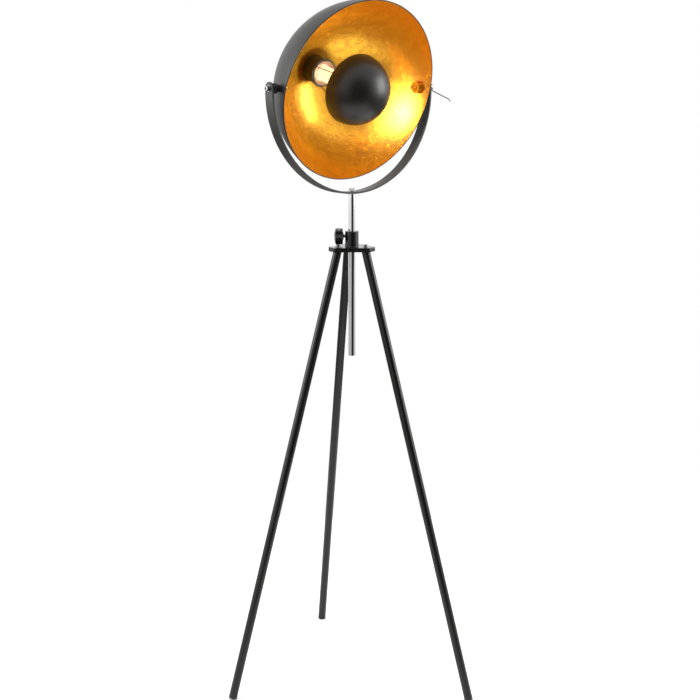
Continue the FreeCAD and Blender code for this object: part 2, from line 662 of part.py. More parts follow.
def build_fixing(seat, stud_radius, stud_hole):
    """Hollow stud, washers and nuts that hold the lampholder to the dish, and the cord outlet."""
    washer_radius = 11
    nut_height = 3
    back = float(sheet.evalExpression(shell_depth(SHELL_OUTER, str(washer_radius))))
    stud_end = dim("holder_seat") + 15.5
    keep(ring("inner_fixing_washer", str(washer_radius), stud_hole, f"{seat} - 1.9",
              f"{seat} - 0.02", SHADE_FRAME), "inner_fixing_washer")
    keep(ring("fixing_stud", str(stud_radius), f"{stud_radius} - 1.5", f"-{stud_end}",
              f"{seat} + 5.3", SHADE_FRAME), "fixing_stud")
    keep(ring("outer_fixing_washer", str(washer_radius), stud_hole, f"{back} - 1.9",
              f"{back} - 0.4", SHADE_FRAME), "outer_fixing_washer")
    nuts = []
    for name, height in (("inside", 2.1 - dim("holder_seat")), ("outside", back - 6.0)):
        spot = SHADE_FRAME * shift(0, 0, height)
        blank = hexagon(f"fixing_nut_blank_{name}", "14", str(nut_height), spot)
        bore = cylinder(f"fixing_nut_bore_{name}", f"2 * ({stud_hole})", str(nut_height), spot)
        nuts.append(cut(f"fixing_nut_{name}", blank, [bore]))
    keep(fuse("fixing_nuts", nuts), "fixing_nuts")

    front = f"{back} - 6.1"
    tail = f"{front} - 20"
    cord_bore = "3.3"
    keep(turned("cable_gland", [
        (stud_hole, front), ("8", front), ("8", f"{front} - 10"), ("6", tail),
        (cord_bore, tail), (cord_bore, f"-{stud_end} - 0.2"), (stud_hole, f"-{stud_end} - 0.2")],
        place=SHADE_FRAME), "cable_gland")


def build_bulb():
    """Tubular bulb: thin glass with a domed end, a stem inside and a screw base."""
    glass_wall = 0.8
    dome = 12.0
    neck = 105.0        # tilt axis back to the start of the tube
    foot = neck + 8
    base_radius = 13.1
    outer = "Lamp.bulb_radius"
    tip = "-Lamp.bulb_tip"
    corners = [
        ("13", f"-{foot}"), (outer, f"-{neck}"), (outer, f"{tip} - {dome}"),
        (f"{outer} - {dome}", tip), ("0", tip), ("0", f"{tip} - {glass_wall}"),
        (f"{outer} - {dome}", f"{tip} - {glass_wall}"),
        (f"{outer} - {glass_wall}", f"{tip} - {dome}"),
        (f"{outer} - {glass_wall}", f"0.3 - {neck}"), ("12.2", f"0.3 - {foot}")]
    arcs = {2: (str(dome), 1), 6: (str(dome - glass_wall), -1)}
    keep(turned("bulb_glass", corners, arcs, SHADE_FRAME), "bulb_glass")
    keep(turned("bulb_base", [
        ("4", f"-{foot} - 22.9"), ("9", f"-{foot} - 20"), (str(base_radius), f"-{foot} - 18"),
        (str(base_radius), f"-{foot} - 0.1"), (f"{base_radius} - 0.8", f"-{foot} - 0.1"),
        (f"{base_radius} - 0.8", f"-{foot} - 17.4"), ("8.6", f"-{foot} - 19.2"),
        ("4", f"-{foot} - 22")], place=SHADE_FRAME), "bulb_base")
    build_filament(foot)


def build_filament(foot):
    """Glass stem standing on the bulb's foot, and the looped filament on two posts above it."""
    stem_radius = 3
    stem_top = 62
    loop_radius = 7
    loop_height = stem_top - 7
    keep(turned("bulb_stem", [
        ("0", f"-{foot} - 14"), ("11", f"-{foot} - 14"), ("11", f"-{foot}"),
        ("5", f"5 - {foot}"), (str(stem_radius), f"13 - {foot}"),
        (str(stem_radius), f"-{stem_top}"), ("0", f"-{stem_top}")], place=SHADE_FRAME), "bulb_stem")
    filament = doc.addObject("Part::Torus", "filament_loop")
    filament.Radius1 = loop_radius
    filament.Radius2 = 0.9
    filament.Placement = SHADE_FRAME * shift(0, 0, -loop_height)
    posts = [cylinder(f"filament_post_{side}", "1", "10",
                      SHADE_FRAME * shift(sign * loop_radius, 0, -stem_top - 2.5))
             for side, sign in SIDES.items()]
    bar = cylinder("filament_bar", "1", str(2 * loop_radius),
                   SHADE_FRAME * shift(-loop_radius, 0, 0.6 - stem_top) * turn(Y_AXIS, 90))
    stem_gap = cylinder("filament_gap", f"2 * {stem_radius} + 0.2", "2.5",
                        SHADE_FRAME * shift(0, 0, -stem_top - 2.5))
    loop = fuse("filament_parts", [filament, bar] + posts)
    keep(cut("bulb_filament", loop, [stem_gap]), "bulb_filament")


def build_shield():
    """Domed glare shield held in front of the bulb by three wires welded to a clip ring."""
    inner = "(Lamp.shield_radius - Lamp.shield_wall)"
    base = "Lamp.shield_centre"
    keep(turned("glare_shield", [
        (inner, base), ("0", f"{base} + {inner}"), ("0", f"{base} + Lamp.shield_radius"),
        ("Lamp.shield_radius", base)],
        {0: (inner, 1), 2: ("Lamp.shield_radius", -1)}, SHADE_FRAME), "glare_shield")
    ring_radius = dim("holder_radius") + dim("wire_diameter") / 2 + 0.1
    ring_height = -dim("holder_mouth") - 3
    behind = dim("holder_mouth") + 30
    clip = doc.addObject("Part::Torus", "clip_ring")
    clip.Radius1 = ring_radius
    clip.setExpression("Radius2", "Lamp.wire_diameter / 2")
    clip.Placement = SHADE_FRAME * shift(0, 0, ring_height)
    outwards = 34.5     # how far a wire runs out while it runs forwards to the shield's edge
    forwards = 116
    splay = math.degrees(math.atan2(outwards, forwards))
    wires = [clip]
    for azimuth in (30, 150, 270):
        start = turn(Z_AXIS, azimuth) * shift(ring_radius, 0, ring_height) * turn(Y_AXIS, splay)
        wires.append(cylinder(f"wire_{azimuth}", "Lamp.wire_diameter", f"{behind} + 26",
                              SHADE_FRAME * start))
    frame = fuse("wire_frame", wires)
    ball = doc.addObject("Part::Sphere", "shield_inside")
    ball.setExpression("Radius", f"{inner} - 0.02")
    ball.Placement = SHADE_FRAME * shift(0, 0, dim("shield_centre"))
    tube = cylinder("wire_reach", "3 * Lamp.shield_radius", f"{behind} + Lamp.shield_centre",
                    SHADE_FRAME * shift(0, 0, -behind))
    trimmed = doc.addObject("Part::Common", "shield_wires")
    trimmed.Base = frame
    trimmed.Tool = fuse("wire_envelope", [ball, tube])
    keep(trimmed, "shield_wires")


# ---- Build, check and write ----------------------------------------------------------------

build_plate()
build_hub()
build_legs()
build_clamp_knob()
build_mast()
build_yoke()
build_shell()
build_pivots()
build_lever()
build_lampholder()
build_bulb()
build_shield()
doc.recompute()

for item in doc.Objects:
    if any(state in ("Invalid", "Error") for state in item.State):
        raise RuntimeError(f"{item.Label} is {item.State}")
for item in parts:
    if item.Shape.isNull() or not item.Shape.isValid() or not item.Shape.Solids:
        raise RuntimeError(f"{item.Label} has no valid shape")

os.makedirs("parts", exist_ok=True)
for item in parts:
    item.Shape.exportStep(os.path.join("parts", item.Label + ".step"))
print(len(parts), "pieces written")
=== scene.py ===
"""Looks of a tripod floor lamp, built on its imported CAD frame. Metres, +Z up, mast along Z.

The black dish with its gold-leaf lining, the bent yoke, the chrome mast, the clamp hub with its
star knob, the three tube legs and all the visible hardware are rebuilt here as detailed meshes in
the places that the frame gives; the hidden parts stay CAD and only get materials.
"""
import json
from math import acos, asin, atan2, cos, degrees, hypot, pi, radians, sin, sqrt, tan, tau

import bmesh
import bpy
from mathutils import Matrix, Vector


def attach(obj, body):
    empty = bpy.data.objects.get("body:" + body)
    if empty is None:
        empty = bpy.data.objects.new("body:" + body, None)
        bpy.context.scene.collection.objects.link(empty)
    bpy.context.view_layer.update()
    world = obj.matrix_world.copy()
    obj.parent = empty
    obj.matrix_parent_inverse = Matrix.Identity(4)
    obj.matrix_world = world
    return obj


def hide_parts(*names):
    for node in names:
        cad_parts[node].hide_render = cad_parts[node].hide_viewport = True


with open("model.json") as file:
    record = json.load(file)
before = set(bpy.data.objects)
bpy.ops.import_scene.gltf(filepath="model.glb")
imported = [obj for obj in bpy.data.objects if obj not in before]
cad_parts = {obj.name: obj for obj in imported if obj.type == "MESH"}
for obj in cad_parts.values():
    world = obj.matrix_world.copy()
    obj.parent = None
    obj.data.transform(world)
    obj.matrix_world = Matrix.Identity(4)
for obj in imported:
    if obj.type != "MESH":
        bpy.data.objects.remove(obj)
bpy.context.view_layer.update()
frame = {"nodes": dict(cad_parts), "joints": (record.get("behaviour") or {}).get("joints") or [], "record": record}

MM = 0.001
SHARP_ANGLE = radians(40)
SAME_POINT = 1e-7
ON_AXIS = 1e-6
ROUND_STEPS = 96
M6_THREAD, M6_BORE, M6_CLEARANCE, M6_PITCH = 2.95 * MM, 2.9 * MM, 3.0 * MM, 1.0 * MM
M8_THREAD, M8_PITCH = 3.97 * MM, 1.25 * MM
M10_BORE, M10_CLEARANCE = 5.05 * MM, 5.1 * MM
JOINTS = {joint["name"]: joint for joint in frame["joints"]}
MOUNTS = {mount["name"]: mount for mount in frame["record"]["mounts"]}


# ---- Places, read from the frame ----

def axes_frame(origin, x, z):
    """A frame at an origin from its X and Z directions."""
    x, z = Vector(x).normalized(), Vector(z).normalized()
    return Matrix.Translation(origin) @ Matrix((x, z.cross(x), z)).transposed().to_4x4()


def along_z(origin, z):
    """A frame at an origin whose Z points along a direction."""
    z = Vector(z).normalized()
    side = Vector((0, 1, 0)) if abs(z.y) < 0.9 else Vector((1, 0, 0))
    return axes_frame(origin, side.cross(z), z)


def spots(node, place=Matrix()):
    """The corners of a CAD node's mesh in a local frame."""
    inverse = place.inverted()
    return [inverse @ vertex.co for vertex in frame["nodes"][node].data.vertices]


def corners_of(points):
    """The lowest and highest corners of some points."""
    low = Vector(min(point[i] for point in points) for i in range(3))
    high = Vector(max(point[i] for point in points) for i in range(3))
    return low, high


def extent(node, place=Matrix()):
    """The lowest and highest corners of a CAD node in a local frame."""
    return corners_of(spots(node, place))


def off_axis(point):
    """A point's distance from the Z axis."""
    return hypot(point.x, point.y)


PIVOT = Vector(JOINTS["shade_tilt"]["pos_m"])
TILT_AXIS = Vector(JOINTS["shade_tilt"]["axis"])
MOUTH_AXIS = -Vector(MOUNTS["cord_inlet"]["axis"])
SHADE = axes_frame(PIVOT, TILT_AXIS, MOUTH_AXIS)
YOKE = axes_frame(PIVOT, TILT_AXIS, (0, 0, 1))
OUTWARDS = {"left": along_z(PIVOT, -TILT_AXIS), "right": along_z(PIVOT, TILT_AXIS)}
KNOB = along_z(JOINTS["knob_turn"]["pos_m"], JOINTS["knob_turn"]["axis"])
UPRIGHT = Matrix()


# ---- Mesh building ----

def skin(loops, closed=False):
    """Corners and faces of a surface over equal loops; a loop of one point closes an end."""
    corners = []
    starts = []
    for loop in loops:
        starts.append(len(corners))
        corners.extend(loop)
    order = list(range(len(loops))) + ([0] if closed else [])
    faces = []
    for a, b in zip(order, order[1:]):
        count = max(len(loops[a]), len(loops[b]))
        for i in range(count if count > 1 else 0):
            j = (i + 1) % count
            if len(loops[a]) == 1:
                faces.append((starts[a], starts[b] + j, starts[b] + i))
            elif len(loops[b]) == 1:
                faces.append((starts[a] + i, starts[a] + j, starts[b]))
            else:
                faces.append((starts[a] + i, starts[a] + j, starts[b] + j, starts[b] + i))
    return corners, faces


def in_scene(name, data):
    """A new object in the scene."""
    item = bpy.data.objects.new(name, data)
    bpy.context.scene.collection.objects.link(item)
    return item


def piece(name, shape, place, body, slot, finish=None, stands_for=None):
    """A mesh piece: placed, painted, riding on its body and standing for a CAD node.

    Unless others are given, the finish is the slot's own and the node has the piece's name.
    """
    mesh = bpy.data.meshes.new(name)
    mesh.from_pydata([Vector(corner) for corner in shape[0]], [], shape[1])
    work = bmesh.new()
    work.from_mesh(mesh)
    bmesh.ops.remove_doubles(work, verts=work.verts, dist=SAME_POINT)
    bmesh.ops.recalc_face_normals(work, faces=work.faces)
    work.to_mesh(mesh)
    work.free()
    mesh.transform(place)
    mesh.shade_smooth()
    mesh.set_sharp_from_angle(angle=SHARP_ANGLE)
    mesh.materials.append(finish or SLOT_FINISHES[slot])
    item = in_scene(name, mesh)
    shading = item.modifiers.new("even_normals", "WEIGHTED_NORMAL")
    shading.keep_sharp = True
    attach(item, body)
    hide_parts(stands_for or name)
    return item


def arc(centre, radius, first, last, steps):
    """Points of an arc in the (radius, height) plane, its angles in degrees."""
    angles = [radians(first + (last - first) * step / steps) for step in range(steps + 1)]
    return [(centre[0] + radius * cos(a), centre[1] + radius * sin(a)) for a in angles]


def rounded(corners, steps=5):
    """An outline through (u, v, rounding) corners, each rounded off by a tangent arc."""
    outline = []
    for number, (u, v, radius) in enumerate(corners):
        here = Vector((u, v))
        if radius <= 0:
            outline.append((u, v))
            continue
        before = (Vector(corners[number - 1][:2]) - here).normalized()
        after = (Vector(corners[(number + 1) % len(corners)][:2]) - here).normalized()
        half = before.angle(after) / 2
        centre = here + (before + after).normalized() * radius / sin(half)
        start = here + before * radius / tan(half) - centre
        first = atan2(start.y, start.x)
        sweep = pi - 2 * half
        turn = -1 if before.x * after.y - before.y * after.x > 0 else 1
        for step in range(steps + 1):
            angle = first + turn * sweep * step / steps
            outline.append((centre.x + radius * cos(angle), centre.y + radius * sin(angle)))
    return outline


def steps_round(count):
    """The angles of equal steps round a full turn."""
    return [tau * step / count for step in range(count)]


def circle(radius, height, count=ROUND_STEPS):
    """A level loop round the Z axis."""
    return [(radius * cos(a), radius * sin(a), height) for a in steps_round(count)]


def turned_loops(outline, segments, shape=None):
    """The loops of a turned surface, one for each (radius, height) point of its outline."""
    angles = steps_round(segments)
    loops = []
    for radius, height in outline:
        if radius < ON_AXIS:
            loops.append([(0, 0, height)])
            continue
        reaches = [shape(angle, radius, height) if shape else radius for angle in angles]
        loops.append([(r * cos(a), r * sin(a), height) for r, a in zip(reaches, angles)])
    return loops


def turned(outline, closed=True, segments=ROUND_STEPS, shape=None):
    """A turned surface from a (radius, height) outline; shape changes the radius by angle."""
    return skin(turned_loops(outline, segments, shape), closed)


def ring_outline(inner, outer, low, high, rounding):
    """The section of a washer, sleeve or strip with its edges rounded."""
    return rounded([(inner, low, rounding), (outer, low, rounding),
                    (outer, high, rounding), (inner, high, rounding)])


def fluted(count, depth, radius, low, high):
    """A shape for turned: flutes round the part at full radius, between two heights."""
    full = 0.97 * radius

    def shape(angle, reach, height):
        inside = low < height < high and reach > full
        return reach - (depth * (1 + cos(count * angle)) if inside else 0)

    return shape


def hex_reach(angle, across):
    """Distance from a hexagon's centre to its side at an angle."""
    return across / 2 / cos((angle + pi / 6) % (pi / 3) - pi / 6)


def hex_nut(across, bore, low, high, cap=False):
    """A hexagon nut, or as a cap a bolt's head, with its corners turned down on both faces."""
    corner_cut = radians(30)
    corner_reach = 0.998
    edge = 0.15 * MM
    face = across / 2 * 0.94

    def side(height, towards):
        loop = []
        for angle in steps_round(ROUND_STEPS):
            reach = hex_reach(angle, across) * corner_reach
            fall = (reach - across / 2) * tan(corner_cut)
            loop.append((reach * cos(angle), reach * sin(angle), height + towards * fall))
        return loop

    loops = [circle(face, low), side(low + edge, 1), side(high - edge, -1), circle(face, high)]
    if cap:
        return skin([[(0, 0, low)]] + loops + [circle(face * 0.5, high), [(0, 0, high)]])
    return skin([circle(bore, low + edge)] + loops + [circle(bore, high - edge)], closed=True)


def socket_head(radius, low, high, socket, depth):
    """A cap screw's head: finely knurled, with a rounded top and a hexagon socket."""
    segments = 216
    rounding = 0.12 * (high - low)
    chamfer = (0.92 * radius, 0.08 * (high - low))
    grip_low, grip_high = low + rounding, high - 2 * rounding
    knurl = fluted(54, 0.003 * radius, radius, grip_low, grip_high)
    inside_grip = 1e-6

    def hexagon(angle, share, height):
        return hex_reach(angle, socket) * share

    outline = [(0, low), (chamfer[0], low), (radius, low + chamfer[1])]
    outline += [(radius, grip_low + (grip_high - grip_low) * step / 6 + inside_grip)
                for step in range(7)]
    outline += arc((radius - rounding, high - rounding), rounding, 0, 90, 6)
    loops = turned_loops(outline, segments, knurl)
    cone_tip = high - depth * 1.15
    loops += turned_loops([(1.12, high), (1.0, high - 0.1 * depth), (1.0, high - depth),
                           (0, cone_tip)], segments, hexagon)
    return skin(loops)


def thread(radius, pitch, low, high):
    """A threaded stud with chamfered ends: the radius follows a helical ridge."""
    depth = 0.55 * pitch
    lead_in = 0.9
    rows_per_turn = 8
    rows = max(rows_per_turn, int(rows_per_turn * (high - low) / pitch))
    outline = [(0, low)]
    outline += [(radius, low + (high - low) * row / rows) for row in range(rows + 1)]
    outline += [(0, high)]

    def ridge(angle, reach, height):
        phase = ((height - low) / pitch - angle / tau) % 1
        end = min(height - low, high - height) / pitch
        taper = depth * max(0, lead_in - end)
        return reach - depth * abs(2 * phase - 1) - taper

    return skin(turned_loops(outline, 40, ridge))


def tube(points, radius, dome=True):
    """A round wire along points, its section carried along without twist; dome rounds its ends."""
    points = [Vector(point) for point in points]
    tangents = []
    for number in range(len(points)):
        before = points[max(number - 1, 0)]
        after = points[min(number + 1, len(points) - 1)]
        tangents.append((after - before).normalized())
    side = tangents[0].orthogonal().normalized()
    loops = []
    for point, tangent in zip(points, tangents):
        side = (side - tangent * side.dot(tangent)).normalized()
        up = tangent.cross(side)
        loops.append([point + radius * (side * cos(a) + up * sin(a))
                      for a in steps_round(20)])
    ends = []
    for end, sign in ((0, -1), (-1, 1)):
        point, tangent, loop = points[end], sign * tangents[end], loops[end]
        caps = []
        for angle in (25, 50, 72) if dome else ():
            lift = tangent * radius * sin(radians(angle))
            shrink = cos(radians(angle))
            caps.append([point + (corner - point) * shrink + lift for corner in loop])
        caps.append([point + tangent * (radius if dome else 0)])
        ends.append(caps)
    return skin(ends[0][::-1] + loops + ends[1])


def joined(*shapes):
    """Several shapes as one."""
    corners = []
    faces = []
    for shape in shapes:
        start = len(corners)
        corners.extend(Vector(corner) for corner in shape[0])
        faces.extend(tuple(index + start for index in face) for face in shape[1])
    return corners, faces


def moved(shape, place):
    """A shape after a move."""
    return [place @ Vector(corner) for corner in shape[0]], shape[1]


def build_washer(name, points, bore, rounding, place, body, slot, stands_for=None):
    """A flat washer with rounded edges, its outside and faces taken from CAD corners."""
    low, high = corners_of(points)
    washer = turned(ring_outline(bore, high.x, low.z, high.z, rounding))
    piece(name, washer, place, body, slot, stands_for=stands_for)


def build_nut(name, points, bore, place, slot, stands_for):
    """A hexagon nut of the shade, its size taken from CAD corners."""
    low, high = corners_of(points)
    nut = hex_nut(2 * min(high.x, high.y), bore, low.z, high.z)
    piece(name, nut, place, "shade", slot, stands_for=stands_for)


# ---- Materials ----

def material(name, colour, roughness, metallic=0.0, **settings):
    """A new material with its plain values on the shader's own sockets."""
    finish = bpy.data.materials.new(name)
    finish.use_nodes = True
    finish.diffuse_color = (*colour, 1)
    values = {"Base_Color": (*colour, 1), "Metallic": metallic, "Roughness": roughness, **settings}
    for socket, value in values.items():
        feed(finish, shader_input(finish, socket.replace("_", " ")), value)
    return finish


def shader_input(finish, socket):
    """An input of the material's own shader."""
    return finish.node_tree.nodes["Principled BSDF"].inputs[socket]


def feed(finish, socket, value):
    """Link a node's input to another node's output, or set its plain value."""
    if isinstance(value, bpy.types.NodeSocket):
        finish.node_tree.links.new(value, socket)
    else:
        socket.default_value = value


def node(finish, kind, *ordered, **inputs):
    """A new node with values or links for its inputs, in order or by name; underscores stand for
    spaces. The owner of the node tree is a material or a world."""
    item = finish.node_tree.nodes.new(kind)
    for socket, value in zip(item.inputs, ordered):
        feed(finish, socket, value)
    for socket, value in inputs.items():
        feed(finish, item.inputs[socket.replace("_", " ")], value)
    return item


def place_texture(finish, stretch=(1, 1, 1), warp=0.0):
    """Object coordinates, stretched along the axes and, if asked, wavered by a coarse noise."""
    coordinates = node(finish, "ShaderNodeTexCoord").outputs["Object"]
    mapped = node(finish, "ShaderNodeMapping", Vector=coordinates, Scale=stretch).outputs["Vector"]
    if not warp:
        return mapped
    waver = node(finish, "ShaderNodeTexNoise", Vector=mapped, Scale=60.0).outputs["Color"]
    offset = node(finish, "ShaderNodeVectorMath")
    offset.operation = "MULTIPLY_ADD"
    for socket, value in zip(offset.inputs, (waver, (warp, warp, warp), mapped)):
        feed(finish, socket, value)
    return offset.outputs["Vector"]


def noise(finish, place, scale, detail=4.0, roughness=0.55):
    """A noise texture's value; scale is in features to the metre."""
    return node(finish, "ShaderNodeTexNoise", Vector=place, Scale=scale, Detail=detail,
                Roughness=roughness).outputs["Fac"]


def cells(finish, place, scale, feature="F1"):
    """A cell texture's distance value."""
    item = node(finish, "ShaderNodeTexVoronoi", Vector=place, Scale=scale)
    item.feature = feature
    return item.outputs["Distance"]


def spread(finish, value, low, high, start=0.0, end=1.0):
    """A value mapped from the range start to end onto low to high, held at both ends."""
    return node(finish, "ShaderNodeMapRange", Value=value, From_Min=start, From_Max=end,
                To_Min=low, To_Max=high).outputs["Result"]


def shades(finish, value, stops):
    """A value turned into colours by (position, colour) stops."""
    ramp = node(finish, "ShaderNodeValToRGB", Fac=value)
    band = ramp.color_ramp
    for number, (position, colour) in enumerate(stops):
        stop = band.elements[number] if number < 2 else band.elements.new(position)
        stop.position = position
        stop.color = (*colour, 1)
    return ramp.outputs["Color"]


def mixed(finish, factor, first, second):
    """Two colours, plain or linked, mixed by a factor."""
    item = node(finish, "ShaderNodeMix")
    item.data_type = "RGBA"
    factor_input, first_input, second_input, colour_output = 0, 6, 7, 2
    feed(finish, item.inputs[factor_input], factor)
    for index, colour in ((first_input, first), (second_input, second)):
        feed(finish, item.inputs[index], (*colour, 1) if isinstance(colour, tuple) else colour)
    return item.outputs[colour_output]


def math_node(finish, operation, first, second):
    """A sum, product or other operation on two values."""
    item = node(finish, "ShaderNodeMath", first, second)
    item.operation = operation
    return item.outputs[0]


def product(finish, first, second):
    """The product of two values."""
    return math_node(finish, "MULTIPLY", first, second)


def total(finish, first, second):
    """The sum of two values."""
    return math_node(finish, "ADD", first, second)


def paint(finish, colour, roughness, height, depth, strength=1.0):
    """Link colour, roughness and a height for bump to the material's shader."""
    relief = node(finish, "ShaderNodeBump", Strength=strength, Distance=depth, Height=height)
    feed(finish, shader_input(finish, "Base Color"), colour)
    feed(finish, shader_input(finish, "Roughness"), roughness)
    feed(finish, shader_input(finish, "Normal"), relief.outputs["Normal"])
    return finish


def powder_coat(name, dark, light, roughness, grain=0.000018, gloss=0.5):
    """Satin powder coat: fine orange peel, slow changes of tone and a few dust specks."""
    finish = material(name, dark, roughness, Specular_IOR_Level=gloss)
    place = place_texture(finish)
    peel = noise(finish, place, 1400.0, 3.0)
    cloud = noise(finish, place, 9.0, 5.0, 0.6)
    specks = cells(finish, place, 700.0)
    tone = shades(finish, cloud, [(0.3, dark), (0.75, light)])
    dust = spread(finish, specks, 0.35, 0.0, 0.0, 0.09)
    colour = mixed(finish, dust, tone, tuple(4 * value for value in light))
    polish = spread(finish, total(finish, cloud, peel), roughness - 0.06, roughness + 0.08, 0.6, 1.4)
    return paint(finish, colour, polish, peel, grain)


def gold_leaf(name, metallic):
    """Gold leaf laid by hand: torn overlapping sheets, fine crackle and burnished patches."""
    dull, middle, bright = (0.84, 0.385, 0.008), (0.93, 0.455, 0.010), (1.0, 0.54, 0.016)
    crack = (0.52, 0.20, 0.005)
    finish = material(name, (0.90, 0.44, 0.022), 0.28, metallic, Coat_Weight=0.7,
                      Coat_Roughness=0.26)
    place = place_texture(finish, warp=0.012)
    sheets = node(finish, "ShaderNodeTexVoronoi", Vector=place, Scale=17.0)
    sheets.distance = "CHEBYCHEV"
    tint = node(finish, "ShaderNodeSeparateColor", Color=sheets.outputs["Color"]).outputs["Red"]
    crackle = cells(finish, place_texture(finish, warp=0.02), 170.0, "DISTANCE_TO_EDGE")
    cracks = spread(finish, crackle, 1.0, 0.0, 0.02, 0.16)
    breaks = spread(finish, noise(finish, place, 55.0, 6.0, 0.65), 0.0, 1.0, 0.42, 0.6)
    worn = product(finish, cracks, breaks)
    cloud = noise(finish, place, 70.0, 8.0, 0.7)
    patches = total(finish, product(finish, tint, 0.16), product(finish, cloud, 0.84))
    tone = shades(finish, patches, [(0.3, dull), (0.5, middle), (0.7, bright)])
    colour = mixed(finish, product(finish, worn, 0.85), tone, crack)
    wrinkle = noise(finish, place, 240.0, 6.0, 0.65)
    polish = spread(finish, total(finish, cloud, product(finish, worn, 0.5)), 0.15, 0.29, 0.3, 1.1)
    height = math_node(finish, "SUBTRACT", wrinkle, product(finish, worn, 0.6))
    return paint(finish, colour, polish, height, 0.0002, 0.8)


def plated(name, colour, roughness, stretch=(1, 1, 1), wear=(0.6, 0.6, 0.6)):
    """Polished plating with fine polishing lines, faint clouding and dull specks."""
    finish = material(name, colour, roughness, 1.0)
    lines = noise(finish, place_texture(finish, stretch), 900.0, 5.0, 0.7)
    place = place_texture(finish)
    cloud = noise(finish, place, 26.0, 4.0)
    specks = cells(finish, place, 900.0)
    dull = spread(finish, specks, 0.4, 0.0, 0.0, 0.1)
    worn = tuple(value * share for value, share in zip(colour, wear))
    tone = mixed(finish, product(finish, dull, 0.8), colour, worn)
    polish = spread(finish, total(finish, lines, cloud), roughness * 0.6, roughness * 1.7, 0.6, 1.4)
    return paint(finish, tone, polish, lines, 0.000004)


def moulded(name, colour, light, roughness, grain, depth):
    """Moulded plastic, rubber or nylon: a fine spark-eroded grain and slightly uneven tone."""
    finish = material(name, colour, roughness, Specular_IOR_Level=0.5)
    place = place_texture(finish)
    texture = cells(finish, place, grain, "SMOOTH_F1")
    cloud = noise(finish, place, 45.0, 4.0)
    tone = shades(finish, cloud, [(0.3, colour), (0.75, light)])
    polish = spread(finish, cloud, roughness - 0.05, roughness + 0.07, 0.3, 0.7)
    return paint(finish, tone, polish, texture, depth)


def glazed(name):
    """Pale glazed porcelain: soft speckle under a clear glaze with slow ripples."""
    dark, light, fleck = (0.40, 0.26, 0.19), (0.52, 0.36, 0.27), (0.20, 0.12, 0.08)
    finish = material(name, (0.46, 0.31, 0.23), 0.22, Coat_Weight=0.6, Coat_Roughness=0.08,
                      Subsurface_Weight=0.08)
    place = place_texture(finish)
    specks = cells(finish, place, 520.0)
    speckle = spread(finish, specks, 0.5, 0.0, 0.0, 0.12)
    tone = shades(finish, noise(finish, place, 55.0, 4.0), [(0.3, dark), (0.7, light)])
    colour = mixed(finish, speckle, tone, fleck)
    polish = spread(finish, specks, 0.3, 0.2)
    return paint(finish, colour, polish, noise(finish, place, 130.0), 0.00004)


def lit_glass(name, glow, strength):
    """Frosted lamp glass lit from inside, its glow faintly mottled."""
    finish = material(name, glow, 0.35, Emission_Color=(*glow, 1), Emission_Strength=strength)
    frost = noise(finish, place_texture(finish), 260.0, 5.0)
    warmer = tuple(value * share for value, share in zip(glow, (1, 0.86, 0.66)))
    tone = shades(finish, frost, [(0.25, warmer), (0.75, glow)])
    feed(finish, shader_input(finish, "Emission Color"), tone)
    return paint(finish, tone, spread(finish, frost, 0.28, 0.45), frost, 0.00003)


SHELL_BLACK = powder_coat("dish_black", (0.012, 0.012, 0.011), (0.020, 0.019, 0.017), 0.45, 0.00003)
LEAF = gold_leaf("gold_leaf", 0.84)
CHROME = plated("chrome", (0.82, 0.82, 0.83), 0.07, (1, 1, 0.03))
BRASS = plated("brass", (0.72, 0.49, 0.18), 0.28, wear=(0.55, 0.5, 0.4))
SLOT_FINISHES = {
    "black_metal": powder_coat("satin_black", (0.0035, 0.0035, 0.0032),
                               (0.0075, 0.0072, 0.0065), 0.30),
    "leg_black": powder_coat("leg_black", (0.003, 0.003, 0.0028), (0.0065, 0.0062, 0.0057),
                             0.28, 0.000028, 0.38),
    "dish_shell": SHELL_BLACK,
    "shield_black": powder_coat("shield_black", (0.006, 0.005, 0.0045), (0.012, 0.009, 0.0075),
                                0.35, 0.00001),
    "dark_wire": powder_coat("dark_wire", (0.008, 0.006, 0.005), (0.014, 0.010, 0.008),
                             0.4, 0.00001),
    "gold_hardware": gold_leaf("gold_hardware", 0.55),
    "chrome": plated("bright_plate", (0.27, 0.27, 0.28), 0.18),
    "zinc_steel": plated("zinc_steel", (0.55, 0.55, 0.54), 0.32, wear=(0.75, 0.72, 0.62)),
    "steel_wire": plated("steel_wire", (0.16, 0.16, 0.16), 0.3, wear=(0.6, 0.55, 0.5)),
    "brass": BRASS,
    "lamp_cap": BRASS,
    "black_plastic": moulded("gloss_plastic", (0.008, 0.008, 0.008), (0.013, 0.013, 0.013),
                             0.18, 260.0, 0.00002),
    "matt_plastic": moulded("matt_plastic", (0.014, 0.014, 0.013), (0.024, 0.023, 0.022),
                            0.48, 1500.0, 0.00002),
    "nylon": moulded("nylon", (0.62, 0.60, 0.54), (0.72, 0.70, 0.64), 0.42, 900.0, 0.00001),
    "rubber": moulded("rubber", (0.012, 0.012, 0.012), (0.024, 0.023, 0.022),
                      0.62, 1300.0, 0.00003),
    "porcelain": glazed("porcelain"),
    "lamp_glass": lit_glass("lamp_glass", (1.0, 0.93, 0.70), 0.95),
    "filament": lit_glass("filament", (1.0, 0.62, 0.25), 14.0),
}


# ---- Dish ----

def dish_sphere():
    """Radius of the dish's centre hole, the height of its sphere's centre and its outer radius."""
    points = spots("shade_shell", SHADE)
    low, high = corners_of(points)
    hole = min(map(off_axis, points))
    centre = (high.x ** 2 + high.z ** 2 - hole ** 2 - low.z ** 2) / (2 * (high.z - low.z))
    return hole, centre, hypot(high.x, high.z - centre)


